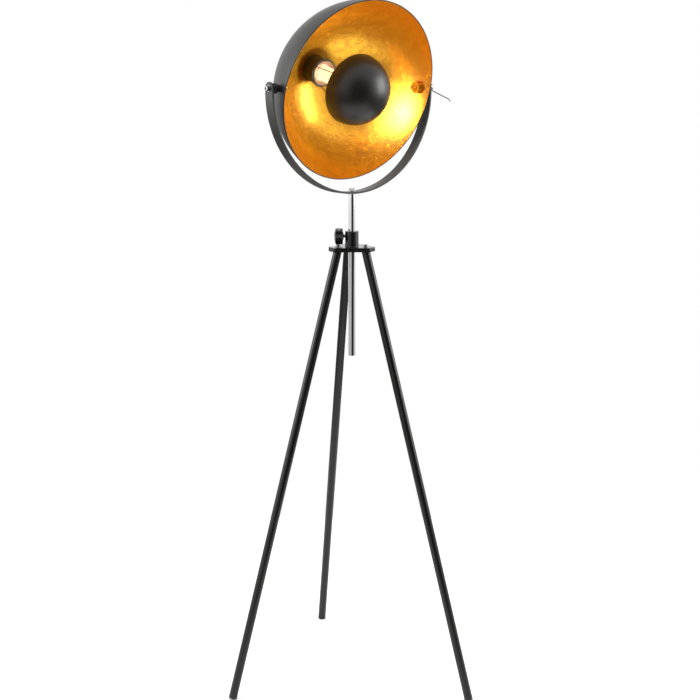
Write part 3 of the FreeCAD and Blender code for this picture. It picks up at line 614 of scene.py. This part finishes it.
def saddled(shape, place, offset, inside):
    """The shape with its end at the dish moved along its own axis to follow the dish's sphere."""
    height, radius = dish_sphere()[1:]
    centre = place.inverted() @ (SHADE @ Vector((0, 0, height)))
    corners, faces = shape
    fitted = []
    for x, y, z in corners:
        chord = (radius + offset) ** 2 - (x - centre.x) ** 2 - (y - centre.y) ** 2
        surface = centre.z + sqrt(max(chord, 0))
        fitted.append((x, y, min(z, surface) if inside else max(z, surface)))
    return fitted, faces


def build_dish():
    """Spun shell with a rolled rim, and the gold-leaf lining that wraps the rim's inner half."""
    wall = 1.2 * MM
    bead = 1.3 * MM
    leaf = 0.12 * MM
    roll_start, roll_end, lining_end = -20, 200, 150
    segments = 256
    high = extent("shade_shell", SHADE)[1]
    hole, centre, radius = dish_sphere()
    middle = (0, centre)
    foot_angle = degrees(asin(hole / radius)) - 90
    rim_angle = -degrees(asin((centre - high.z + bead) / radius))
    lip = (high.x - wall / 2, high.z - bead)
    outside = arc(middle, radius, foot_angle, rim_angle, 72)
    roll = arc(lip, bead, roll_start, roll_end, 18)
    inside = arc(middle, radius - wall, rim_angle, foot_angle, 72)
    shell = turned(outside + roll + inside, segments=segments)
    piece("shade_shell", shell, SHADE, "shade", "dish_shell")

    front = arc(middle, radius - wall - leaf, foot_angle, rim_angle, 96)
    lining_roll = arc(lip, bead + leaf, roll_end, lining_end, 6)
    under_roll = arc(lip, bead - leaf, lining_end, roll_end, 6)
    back = arc(middle, radius - wall + leaf / 2, rim_angle, foot_angle, 96)
    lining = turned(front + lining_roll + under_roll + back, segments=segments)
    piece("shade_lining", lining, SHADE, "shade", "dish_shell", LEAF, "shade_shell")


# ---- Yoke and pivots ----

def build_yoke():
    """Bent strip with eased edges and rounded arm ends, swept from one arm over to the other."""
    wall = 4.5 * MM
    ease = 0.7 * MM
    end_turn, end_steps, arm_steps, bend_steps = 88, 12, 3, 36
    low, high = extent("yoke", YOKE)
    half_width = high.y
    bend_height = low.z + high.x
    middle = high.x - wall / 2
    stations = []
    for step in range(end_steps + 1):
        angle = radians(end_turn - end_turn * step / end_steps)
        stations.append((middle, high.z * sin(angle), 0, half_width * cos(angle)))
    stations += [(middle, bend_height * step / arm_steps, 0, half_width)
                 for step in range(1, arm_steps)]
    for step in range(bend_steps + 1):
        angle = radians(90 * step / bend_steps)
        stations.append((middle * cos(angle), bend_height - middle * sin(angle),
                         angle, half_width))
    mirrored = [(-x, z, pi - angle, half) for x, z, angle, half in stations[-2::-1]]
    loops = []
    for x, z, angle, half in stations + mirrored:
        edge = min(ease, 0.45 * half)
        outline = ring_outline(-wall / 2, wall / 2, -half, half, edge)
        across = Vector((cos(angle), 0, -sin(angle)))
        loops.append([Vector((x, 0, z)) + across * u + Vector((0, v, 0)) for u, v in outline])
    ends = [[sum(loop, Vector()) / len(loop)] for loop in (loops[0], loops[-1])]
    strip = skin([ends[0]] + loops + [ends[1]])
    piece("yoke", strip, YOKE, "yoke", "black_metal", SHELL_BLACK)


def own_side(node, place):
    """The corners of a two-sided CAD node that lie on the side a pivot's frame points to."""
    return [point for point in spots(node, place) if point.z > 0]


def build_spacer(side, place):
    """Stepped spacer between dish and yoke, its narrow end saddled to the dish."""
    name = f"pivot_spacer_{side}"
    ease = 0.6 * MM
    root = 0.5 * MM
    points = spots(name, place)
    low, high = corners_of(points)
    bore = min(map(off_axis, points))
    step = min(point.z for point in points if off_axis(point) > 0.99 * high.x)
    neck = max(off_axis(point) for point in points if point.z < step - root)
    outline = rounded([(bore, low.z, 0), (neck, low.z, 0), (neck, step, root), (high.x, step, ease),
                       (high.x, high.z, ease), (bore, high.z, ease / 2)])
    spacer = saddled(turned(outline), place, 0.05 * MM, inside=False)
    piece(name, spacer, place, "shade", "matt_plastic")


def build_boss(side, place):
    """Round boss inside the wall, its outer end saddled to the dish."""
    name = f"pivot_boss_{side}"
    points = spots(name, place)
    low, high = corners_of(points)
    outline = ring_outline(min(map(off_axis, points)), high.x, low.z, high.z, 0.5 * MM)
    boss = saddled(turned(outline), place, -1.4 * MM, inside=True)
    piece(name, boss, place, "shade", "gold_hardware")


def build_pivots():
    """Spacers, bosses, washers, nuts and bolts along the tilt axis on both sides."""
    for side, place in OUTWARDS.items():
        build_spacer(side, place)
        build_boss(side, place)
        build_washer(f"pivot_washer_{side}", own_side("pivot_washers", place), M6_BORE, 0.35 * MM,
                     place, "shade", "gold_hardware", "pivot_washers")
        build_nut(f"pivot_nut_{side}", own_side("pivot_nuts", place), M6_BORE, place,
                  "gold_hardware", "pivot_nuts")
        build_washer(f"head_washer_{side}", own_side("head_washers", place), M6_CLEARANCE, 0.3 * MM,
                     place, "shade", "chrome", "head_washers")

    place = OUTWARDS["left"]
    low, high = extent("pivot_bolt_left", place)
    head_height, socket, socket_depth = 6 * MM, 4 * MM, 3 * MM
    head = high.z - head_height
    stem = low.z + 10 * MM
    shank = turned([(0, stem), (M6_THREAD, stem), (M6_THREAD, head), (0, head)], closed=False)
    bolt = joined(socket_head(high.x, head, high.z, socket, socket_depth),
                  thread(M6_THREAD, M6_PITCH, low.z, stem), shank)
    piece("pivot_bolt_left", bolt, place, "shade", "chrome")
    place = OUTWARDS["right"]
    low, high = extent("pivot_stud_right", place)
    stud = thread(M6_THREAD, M6_PITCH, low.z, high.z)
    piece("pivot_stud_right", stud, place, "shade", "gold_hardware")


def build_lever():
    """Bent wire lever with a rounded tip, through a knurled nut on the right-hand stud."""
    droop = radians(0.8)
    knee_bend = radians(35)
    bend = 2.2 * MM
    tip_length = 5.5 * MM
    tail_length = 8 * MM
    axis_drop = -5 * MM
    low, high = extent("tilt_lever", SHADE)
    radius = (high.x - low.x) / 2
    crossing = Vector(((low.x + high.x) / 2, axis_drop, 0))

    def heading(angle):
        return Vector((0, -sin(angle), cos(angle)))

    start = crossing - tail_length * heading(droop)
    rise = high.z - radius - tip_length * cos(droop + knee_bend)
    knee = crossing + rise * heading(droop)
    path = [start + (knee - start) * step / 12 for step in range(12)]
    for step in range(7):
        share = step / 6
        before = knee - bend * (1 - share) * heading(droop)
        after = knee + bend * share * heading(droop + knee_bend)
        path.append(before.lerp(after, share))
    path.append(knee + tip_length * heading(droop + knee_bend))
    piece("tilt_lever", tube(path, radius), SHADE, "lever", "steel_wire")
    build_lever_nut(OUTWARDS["right"])


def build_lever_nut(place):
    """Round nut with a knurled grip between its rounded edges."""
    bore = 3.05 * MM
    bore_ease = 0.2 * MM
    ease = 0.8 * MM
    grip_margin = 1.1 * MM
    knurl_margin = 1.2 * MM
    low, high = extent("lever_nut", place)
    outline = rounded([(bore, low.z, bore_ease), (high.x, low.z, ease), (high.x, high.z, ease),
                       (bore, high.z, bore_ease)])
    edge = max(range(len(outline)), key=lambda i: (outline[i][0], -outline[i][1]))
    span = high.z - low.z - 2 * grip_margin
    grip = [(high.x, low.z + grip_margin + span * step / 6) for step in range(7)]
    knurl = fluted(40, 0.22 * MM, high.x, low.z + knurl_margin, high.z - knurl_margin)
    nut = turned(outline[:edge + 1] + grip + outline[edge + 1:], segments=240, shape=knurl)
    piece("lever_nut", nut, place, "lever", "zinc_steel")


# ---- Lampholder, bulb and glare shield ----

def build_lampholder():
    """Lampholder cup with a beaded mouth, and the pale ring inside it, which is returned."""
    wall = 2 * MM
    bead = 0.9 * MM
    waist = 0.7 * MM
    collar, foot = 6 * MM, 4.3 * MM
    ease, heel = 0.5 * MM, 3 * MM
    segments = 128
    low, high = extent("lampholder_cup", SHADE)
    radius = high.x
    outside = rounded([(M10_CLEARANCE, low.z, 0), (radius, low.z, heel), (radius, low.z + foot, ease),
                       (radius - waist, low.z + foot + waist, ease),
                       (radius - waist, high.z - collar - waist, ease),
                       (radius, high.z - collar, ease)])
    inside = [(radius - wall, low.z + wall), (M10_CLEARANCE, low.z + wall)]
    lip = arc((radius - wall / 2, high.z - bead), bead, 0, 180, 10)
    cup = turned(outside + lip + inside, segments=segments)
    piece("lampholder_cup", cup, SHADE, "shade", "matt_plastic")

    points = spots("holder_ring", SHADE)
    low, high = corners_of(points)
    bore = min(map(off_axis, points))
    face, funnel, throat = 1.4 * MM, 1.2 * MM, 5 * MM
    lead = 6.5 * MM
    mouth_ease, funnel_ease, throat_ease = 0.6 * MM, 2 * MM, 0.8 * MM
    ring = rounded([(bore, low.z, ease), (high.x, low.z, ease), (high.x, high.z, mouth_ease),
                    (high.x - face, high.z, mouth_ease), (bore + funnel, high.z - throat, funnel_ease),
                    (bore, high.z - lead, throat_ease)])
    return piece("holder_ring", turned(ring, segments=segments), SHADE, "shade", "porcelain")


def build_fixing():
    """On the back of the dish: washer, hexagon nuts inside and outside, and the cord gland."""
    washer = spots("outer_fixing_washer", SHADE)
    build_washer("outer_fixing_washer", washer, M10_CLEARANCE, 0.4 * MM, SHADE, "shade", "zinc_steel")
    divide = min(point.z for point in washer)
    points = spots("fixing_nuts", SHADE)
    for name, own in (("inside", [point for point in points if point.z > divide]),
                      ("outside", [point for point in points if point.z <= divide])):
        build_nut(f"fixing_nut_{name}", own, M10_BORE, SHADE, "zinc_steel", "fixing_nuts")
    build_gland()


def build_gland():
    """Cord gland: a ribbed collar that tapers to the cord's bore."""
    collar, tail = 10 * MM, 6 * MM
    bore_ease, tail_ease, shoulder_ease, ease = 0.5 * MM, 1.2 * MM, 1.5 * MM, 0.6 * MM
    face_margin, flute_margin = 1.2 * MM, 1.3 * MM
    low, high = extent("cable_gland", SHADE)
    bore = MOUNTS["cord_inlet"]["dims"]["r_mm"] * MM
    inner_face = extent("fixing_stud", SHADE)[0].z - 0.2 * MM
    shoulder = high.z - collar
    outline = rounded([(M10_CLEARANCE, inner_face, 0), (bore, inner_face, 0), (bore, low.z, bore_ease),
                       (tail, low.z, tail_ease), (high.x, shoulder, shoulder_ease),
                       (high.x, high.z, ease), (M10_CLEARANCE, high.z, 0)])
    top = [point for point in outline if point[1] > high.z - face_margin]
    ribs = [(high.x, shoulder + collar * step / 8) for step in range(1, 8)]
    body = [point for point in outline if point not in top] + ribs + top
    flutes = fluted(18, 0.35 * MM, high.x, shoulder + shoulder_ease, high.z - flute_margin)
    gland = turned(body, segments=180, shape=flutes)
    piece("cable_gland", gland, SHADE, "shade", "matt_plastic")


def build_bulb():
    """Tubular frosted bulb with a domed end and a rounded shoulder; returned without a shadow."""
    wall = 0.8 * MM
    dome = 12 * MM
    neck = 13 * MM
    neck_height, shoulder_height, shoulder_steps = 2 * MM, 7 * MM, 6
    neck_flare = 0.3 * MM
    low, high = extent("bulb_glass", SHADE)
    radius = high.x

    def skin_of(inset):
        outline = [(neck - inset, low.z + inset / 2),
                   (neck - inset + neck_flare, low.z + neck_height)]
        for step in range(1, shoulder_steps + 1):
            fall = (0.5 + 0.5 * cos(pi * step / shoulder_steps)) ** 2
            outline.append((radius - inset - (radius - neck) * fall,
                            low.z + neck_height + shoulder_height * step / shoulder_steps))
        outline += arc((radius - dome, high.z - dome), dome - inset, 0, 90, 12)
        return outline + [(0, high.z - inset)]

    outline = skin_of(0) + skin_of(wall)[::-1]
    glass = piece("bulb_glass", turned(outline), SHADE, "shade", "lamp_glass")
    glass.visible_shadow = False
    return glass


def build_shield():
    """Glare shield dome with a rolled edge, on three wires welded to a clip ring."""
    wall = 1.0 * MM
    bead = 0.9 * MM
    edge_angle = 1.2
    low, high = extent("glare_shield", SHADE)
    radius = high.x
    middle = (0, low.z)
    outside = arc(middle, radius, 90, edge_angle, 48)
    edge = arc((radius - wall / 2, low.z + bead), bead, 20, -200, 14)
    inside = arc(middle, radius - wall, edge_angle, 90, 48)
    dome = turned(outside + edge + inside, segments=192)
    piece("glare_shield", dome, SHADE, "shade", "shield_black")
    build_shield_wires(radius - wall, low.z)


def build_shield_wires(dome_radius, dome_base):
    """Clip ring with three splayed wires that end at the inside of the shield's dome."""
    wire = 1.0 * MM
    gap = 0.1 * MM
    splay = atan2(34.5, 116)
    tail = 1.5 * MM
    weld_radius = 1.7 * MM
    low, high = extent("shield_wires", SHADE)
    ring_height = low.z + wire
    ring_radius = extent("lampholder_cup", SHADE)[1].x + wire + gap
    ring = circle(ring_radius, ring_height)
    foot = Vector((ring_radius, 0, ring_height - tail))
    tip = Vector((ring_radius + (high.z - ring_height) * tan(splay), 0, high.z - wire))
    path = [foot.lerp(tip, step / 14) for step in range(15)]
    within = [point for point in path
              if hypot(point.x, point.z - dome_base) < dome_radius or point.z < dome_base]
    weld = turned(arc((0, 0), weld_radius, -90, 90, 10), closed=False, segments=24)
    shapes = [tube(ring + ring[:1], wire, dome=False)]
    for azimuth in (30, 150, 270):
        turn = Matrix.Rotation(radians(azimuth), 4, "Z")
        shapes.append(moved(tube(within, wire), turn))
        shapes.append(moved(weld, turn @ Matrix.Translation((ring_radius, 0, ring_height))))
    piece("shield_wires", joined(*shapes), SHADE, "shade", "dark_wire")


# ---- Mast, hub and clamp ----

def build_mast():
    """Chrome tube with eased ends, its end plug, and the bolt and washers under and on the yoke."""
    wall = 1.5 * MM
    low, high = extent("mast_rod")
    rod = turned(ring_outline(high.x - wall, high.x, low.z, high.z, 0.4 * MM), segments=128)
    piece("mast_rod", rod, UPRIGHT, "mast", "chrome", CHROME)
    low, high = extent("mast_end_plug")
    bottom = low.z - 0.2 * MM
    plug = turned(rounded([(0, bottom, 0), (high.x, bottom, 1 * MM), (high.x, high.z, 0.5 * MM),
                           (0, high.z, 0)]), closed=False)
    piece("mast_end_plug", plug, UPRIGHT, "mast", "matt_plastic")
    for name, slot in (("swivel_washer_lower", "nylon"), ("swivel_washer_upper", "zinc_steel")):
        points = spots(name)
        build_washer(name, points, min(map(off_axis, points)), 0.25 * MM, UPRIGHT, "mast", slot)
    seat = extent("swivel_washer_upper")[1].z
    low, high = extent("swivel_bolt")
    head = hex_nut(2 * min(high.x, high.y), 0, seat, high.z, cap=True)
    shank = thread(M8_THREAD, M8_PITCH, low.z, seat - 0.1 * MM)
    piece("swivel_bolt", joined(head, shank), UPRIGHT, "mast", "zinc_steel")


def build_hub():
    """Clamp hub: a sleeve with a chamfered mouth and a fillet at its foot."""
    mouth = 1 * MM
    fillet, fillet_rise = 0.6 * MM, 1.2 * MM
    low, high = extent("clamp_hub")
    bore = min(off_axis(point) for point in spots("clamp_hub") if point.z > high.z - mouth)
    hub = turned(rounded([(bore, low.z, 0), (high.x + fillet, low.z, 0.2 * MM),
                          (high.x, low.z + fillet_rise, 0.8 * MM), (high.x, high.z, 1.1 * MM),
                          (bore + mouth, high.z, 0.4 * MM), (bore, high.z - mouth, 0.4 * MM)]),
                 segments=128)
    piece("clamp_hub", hub, UPRIGHT, "tripod", "black_metal")


def build_knob():
    """Star knob with five lobes, one of them down, and a domed face, on its threaded stud."""
    lobes = 5
    scoop = 4 * MM
    valley_sharpness, scoop_growth = 1.5, 1.4
    hub_radius = 8 * MM
    crown = 3 * MM
    below = KNOB.inverted().to_3x3() @ Vector((0, 0, -1))
    first_lobe = atan2(below.y, below.x)
    low, high = extent("clamp_knob", KNOB)
    radius = high.x
    back, face = low.z, high.z
    edge = radius - 1.2 * MM
    dome_radius = (edge ** 2 + crown ** 2) / (2 * crown)
    dome_start = degrees(acos(edge / dome_radius))

    def star(angle, reach, height):
        valley = (0.5 - 0.5 * cos(lobes * (angle - first_lobe))) ** valley_sharpness
        share = max(0.0, (reach - hub_radius) / (radius - hub_radius))
        return reach - scoop * valley * share ** scoop_growth

    side = rounded([(0, back, 0), (hub_radius, back, 0.8 * MM),
                    (hub_radius + 0.8 * MM, back + 1 * MM, 0.5 * MM),
                    (radius - 1.4 * MM, back + 1.6 * MM, 1.2 * MM),
                    (radius, back + 3.6 * MM, 1.6 * MM),
                    (radius, face - crown - 0.8 * MM, 1.2 * MM), (edge, face - crown, 0)])
    dome = arc((0, face - dome_radius), dome_radius, dome_start, 90, 12)[1:-1] + [(0, face)]
    knob = skin(turned_loops(side + dome, 192, star))
    piece("clamp_knob", knob, KNOB, "knob", "black_plastic")
    low, high = extent("clamp_screw", KNOB)
    screw = thread(high.x - 0.05 * MM, M8_PITCH, low.z, high.z)
    piece("clamp_screw", screw, KNOB, "knob", "zinc_steel")


# ---- Tripod ----

def build_plate():
    """Three-cornered plate with rounded corners and eased edges."""
    corner_round = 3 * MM
    ease = 1.0 * MM
    low, high = extent("tripod_plate")
    points = spots("tripod_plate")
    reach = max(map(off_axis, points))
    outer = {(round(point.x, 5), round(point.y, 5)) for point in points
             if off_axis(point) > 0.995 * reach}
    corners = sorted(outer, key=lambda spot: atan2(spot[1], spot[0]))
    outline = rounded([(x, y, corner_round) for x, y in corners], steps=6)
    loops = []
    for inset, height in ((2.5 * ease, low.z), (ease, low.z), (0.3 * ease, low.z + 0.3 * ease),
                          (0, low.z + ease), (0, high.z - ease), (0.3 * ease, high.z - 0.3 * ease),
                          (ease, high.z), (2.5 * ease, high.z)):
        loops.append([(x * (1 - inset / reach), y * (1 - inset / reach), height) for x, y in outline])
    shape = skin([[(0, 0, low.z)]] + loops + [[(0, 0, high.z)]])
    piece("tripod_plate", shape, UPRIGHT, "tripod", "black_metal")


def leg_place(name):
    """A leg's frame, from the middle of its square-cut lower end up its line, and its top height."""
    points = spots(name)
    low, high = corners_of(points)
    middle = (low.z + high.z) / 2
    foot = sum(corners_of([point for point in points if point.z < middle]), Vector()) / 2
    top = sum(corners_of([point for point in points if point.z > middle]), Vector()) / 2
    return along_z(foot, top - foot), high.z


def build_leg(side):
    """Tube with a level top cut under the plate, its end cap, and the bolt above it."""
    wall = 1.2 * MM
    ease = 0.35 * MM
    straight_end = 30 * MM
    bore_start = 0.1 * MM
    count = 64
    name = f"leg_{side}"
    place, plate_under = leg_place(name)
    radius = extent(name, place)[1].x
    slope = place.to_3x3() @ Vector((0, 0, 1))
    length = (plate_under - place.translation.z) / slope.z - straight_end

    def level(reach):
        ring = [Vector(spot) for spot in circle(reach, 0, count)]
        for spot in ring:
            spot.z = (plate_under - (place @ spot).z) / slope.z
        return ring

    section = [(radius - ease, 0.01 * ease), (radius - 0.3 * ease, 0.3 * ease), (radius, ease)]
    section += [(radius, ease + (length - ease) * step / 8) for step in range(1, 9)]
    inner = [circle(radius - wall, length, count), circle(radius - wall, bore_start, count)]
    shape = skin(turned_loops(section, count) + [level(radius), level(radius - wall)] + inner,
                 closed=True)
    piece(name, shape, place, "tripod", "leg_black")
    build_foot(side, place, radius, wall)
    build_leg_bolt(side, place)


def build_foot(side, place, radius, wall):
    """End cap with a thin parting groove, a rounded sole edge, and a flat where it stands."""
    name = f"foot_{side}"
    groove, groove_low = 0.6 * MM, 0.9 * MM
    sole_round, plug_round = 1.2 * MM, 0.8 * MM
    low, high = extent(name, place)
    plug = radius - wall - 0.05 * MM
    outline = rounded([(0, low.z, 0), (radius, low.z, sole_round), (radius, -groove_low, 0.25 * MM),
                       (radius - groove, -groove, 0.1 * MM), (radius - groove, 0, 0),
                       (plug, 0, 0), (plug, high.z, plug_round), (0, high.z, 0)])
    corners, faces = turned(outline, closed=False, segments=72)
    inverse = place.inverted()
    standing = []
    for corner in corners:
        spot = place @ Vector(corner)
        spot.z = max(spot.z, 0)
        standing.append(inverse @ spot)
    piece(name, (standing, faces), place, "tripod", "rubber")


def build_leg_bolt(side, leg):
    """Cap screw and washer on the plate, above one leg."""
    thread_radius, socket, socket_depth = 2.9 * MM, 5 * MM, 3 * MM
    outwards = leg.translation.xy.normalized()

    def own(node):
        return corners_of([point for point in spots(node)
                           if point.xy.normalized().dot(outwards) > 0.7])

    low, high = own("leg_bolts")
    washer_low, washer_high = own("leg_washers")
    place = Matrix.Translation(((low.x + high.x) / 2, (low.y + high.y) / 2, 0))
    seat = washer_high.z
    bolt = joined(socket_head((high.x - low.x) / 2, seat, high.z, socket, socket_depth),
                  thread(thread_radius, M6_PITCH, low.z, seat))
    piece(f"leg_bolt_{side}", bolt, place, "tripod", "chrome", stands_for="leg_bolts")
    washer = turned(ring_outline(M6_CLEARANCE, (washer_high.x - washer_low.x) / 2, washer_low.z,
                                 seat, 0.3 * MM))
    piece(f"leg_washer_{side}", washer, place, "tripod", "chrome", stands_for="leg_washers")


# ---- Floor, light and camera ----

def build_floor():
    """A plain pale floor, wide enough for every view."""
    half = 1.1
    dark, light = (0.925, 0.925, 0.925), (0.94, 0.94, 0.94)
    mesh = bpy.data.meshes.new("floor")
    mesh.from_pydata([(-half, -half, 0), (half, -half, 0), (half, half, 0), (-half, half, 0)],
                     [], [(0, 1, 2, 3)])
    finish = material("floor_paint", (0.93, 0.93, 0.93), 0.7)
    tone = shades(finish, noise(finish, place_texture(finish), 3.0), [(0.3, dark), (0.7, light)])
    feed(finish, shader_input(finish, "Base Color"), tone)
    mesh.materials.append(finish)
    in_scene("floor", mesh)


def build_world():
    """A white studio: a dark flag in front, a brighter backdrop, less light from below."""
    world = bpy.data.worlds.new("studio")
    bpy.context.scene.world = world
    world.use_nodes = True
    world.node_tree.nodes.clear()
    direction = node(world, "ShaderNodeTexCoord").outputs["Generated"]

    def towards(*aim):
        item = node(world, "ShaderNodeVectorMath", direction, Vector(aim).normalized())
        item.operation = "DOT_PRODUCT"
        return item.outputs["Value"]

    white = {"Color": (1, 1, 1, 1)}
    flag_azimuth = radians(20)
    flag_side = towards(sin(flag_azimuth), -cos(flag_azimuth), 0)
    flag = spread(world, flag_side, 1.0, 0.04, 0.76, 0.86)
    height = node(world, "ShaderNodeSeparateXYZ", Vector=direction).outputs["Z"]
    level = spread(world, height, 0.2, 1.15, -0.35, 0.0)
    backdrop = spread(world, towards(0, 0.98, 0.2), 1.0, 1.7, 0.96, 0.985)
    strength = product(world, product(world, flag, level), backdrop)
    glow = node(world, "ShaderNodeBackground", Strength=strength, **white)
    plain = node(world, "ShaderNodeBackground", **white)
    seen = node(world, "ShaderNodeLightPath").outputs["Is Camera Ray"]
    blend = node(world, "ShaderNodeMixShader", seen, glow.outputs[0], plain.outputs[0])
    node(world, "ShaderNodeOutputWorld", Surface=blend.outputs[0])


def add_light(name, kind, energy, place, size, colour=(1, 1, 1)):
    """A light at a place, aimed along its own -Z."""
    data = bpy.data.lights.new(name, kind)
    data.energy = energy
    data.color = colour
    if kind == "AREA":
        data.size = size
    else:
        data.shadow_soft_size = size
    light = in_scene(name, data)
    light.matrix_world = place
    return light


def build_lights(glass, ring):
    """Soft light from both sides, and the warm light that moves with the bulb and skips the ring."""
    middle = Vector((0, 0, 0.9))
    for name, power, eye in (("key", 58, (-2.9, -0.3, 1.8)), ("fill", 62, (2.9, 0.2, 1.7))):
        add_light(name, "AREA", power, along_z(eye, Vector(eye) - middle), 1.8)
    bulb = SHADE @ Matrix.Translation((0, 0, -37 * MM))
    lamp = add_light("bulb_light", "POINT", 1.15, bulb, 12 * MM, (1.0, 0.93, 0.84))
    bpy.context.view_layer.update()
    lamp.parent = glass
    lamp.matrix_parent_inverse = glass.matrix_world.inverted()
    skipped = bpy.data.collections.new("out_of_bulb_light")
    skipped.objects.link(ring)
    skipped.collection_objects[0].light_linking.link_state = "EXCLUDE"
    lamp.light_linking.receiver_collection = skipped


def build_camera():
    """Eye level a little above the dish's pivot, looking down at the whole lamp."""
    eye = Vector((-0.0041, -2.947, 1.3954))
    down = radians(11.81)
    data = bpy.data.cameras.new("camera")
    data.sensor_width = 36
    data.lens = 68.19
    camera = in_scene("camera", data)
    camera.location = eye
    camera.rotation_euler = (pi / 2 - down, 0, 0)
    bpy.context.scene.camera = camera
    bpy.context.scene.view_settings.view_transform = "Standard"


# ---- Build ----

for part in frame["record"]["subparts"]:
    item = frame["nodes"][part["node"]]
    item.data.materials.clear()
    item.data.materials.append(SLOT_FINISHES[part["material_slot"]])

build_dish()
build_yoke()
build_pivots()
build_lever()
pale_ring = build_lampholder()
build_fixing()
lit_bulb = build_bulb()
build_shield()
build_mast()
build_hub()
build_knob()
build_plate()
for leg_side in ("left", "right", "back"):
    build_leg(leg_side)
build_floor()
build_world()
build_lights(lit_bulb, pale_ring)
build_camera()

bpy.context.view_layer.update()
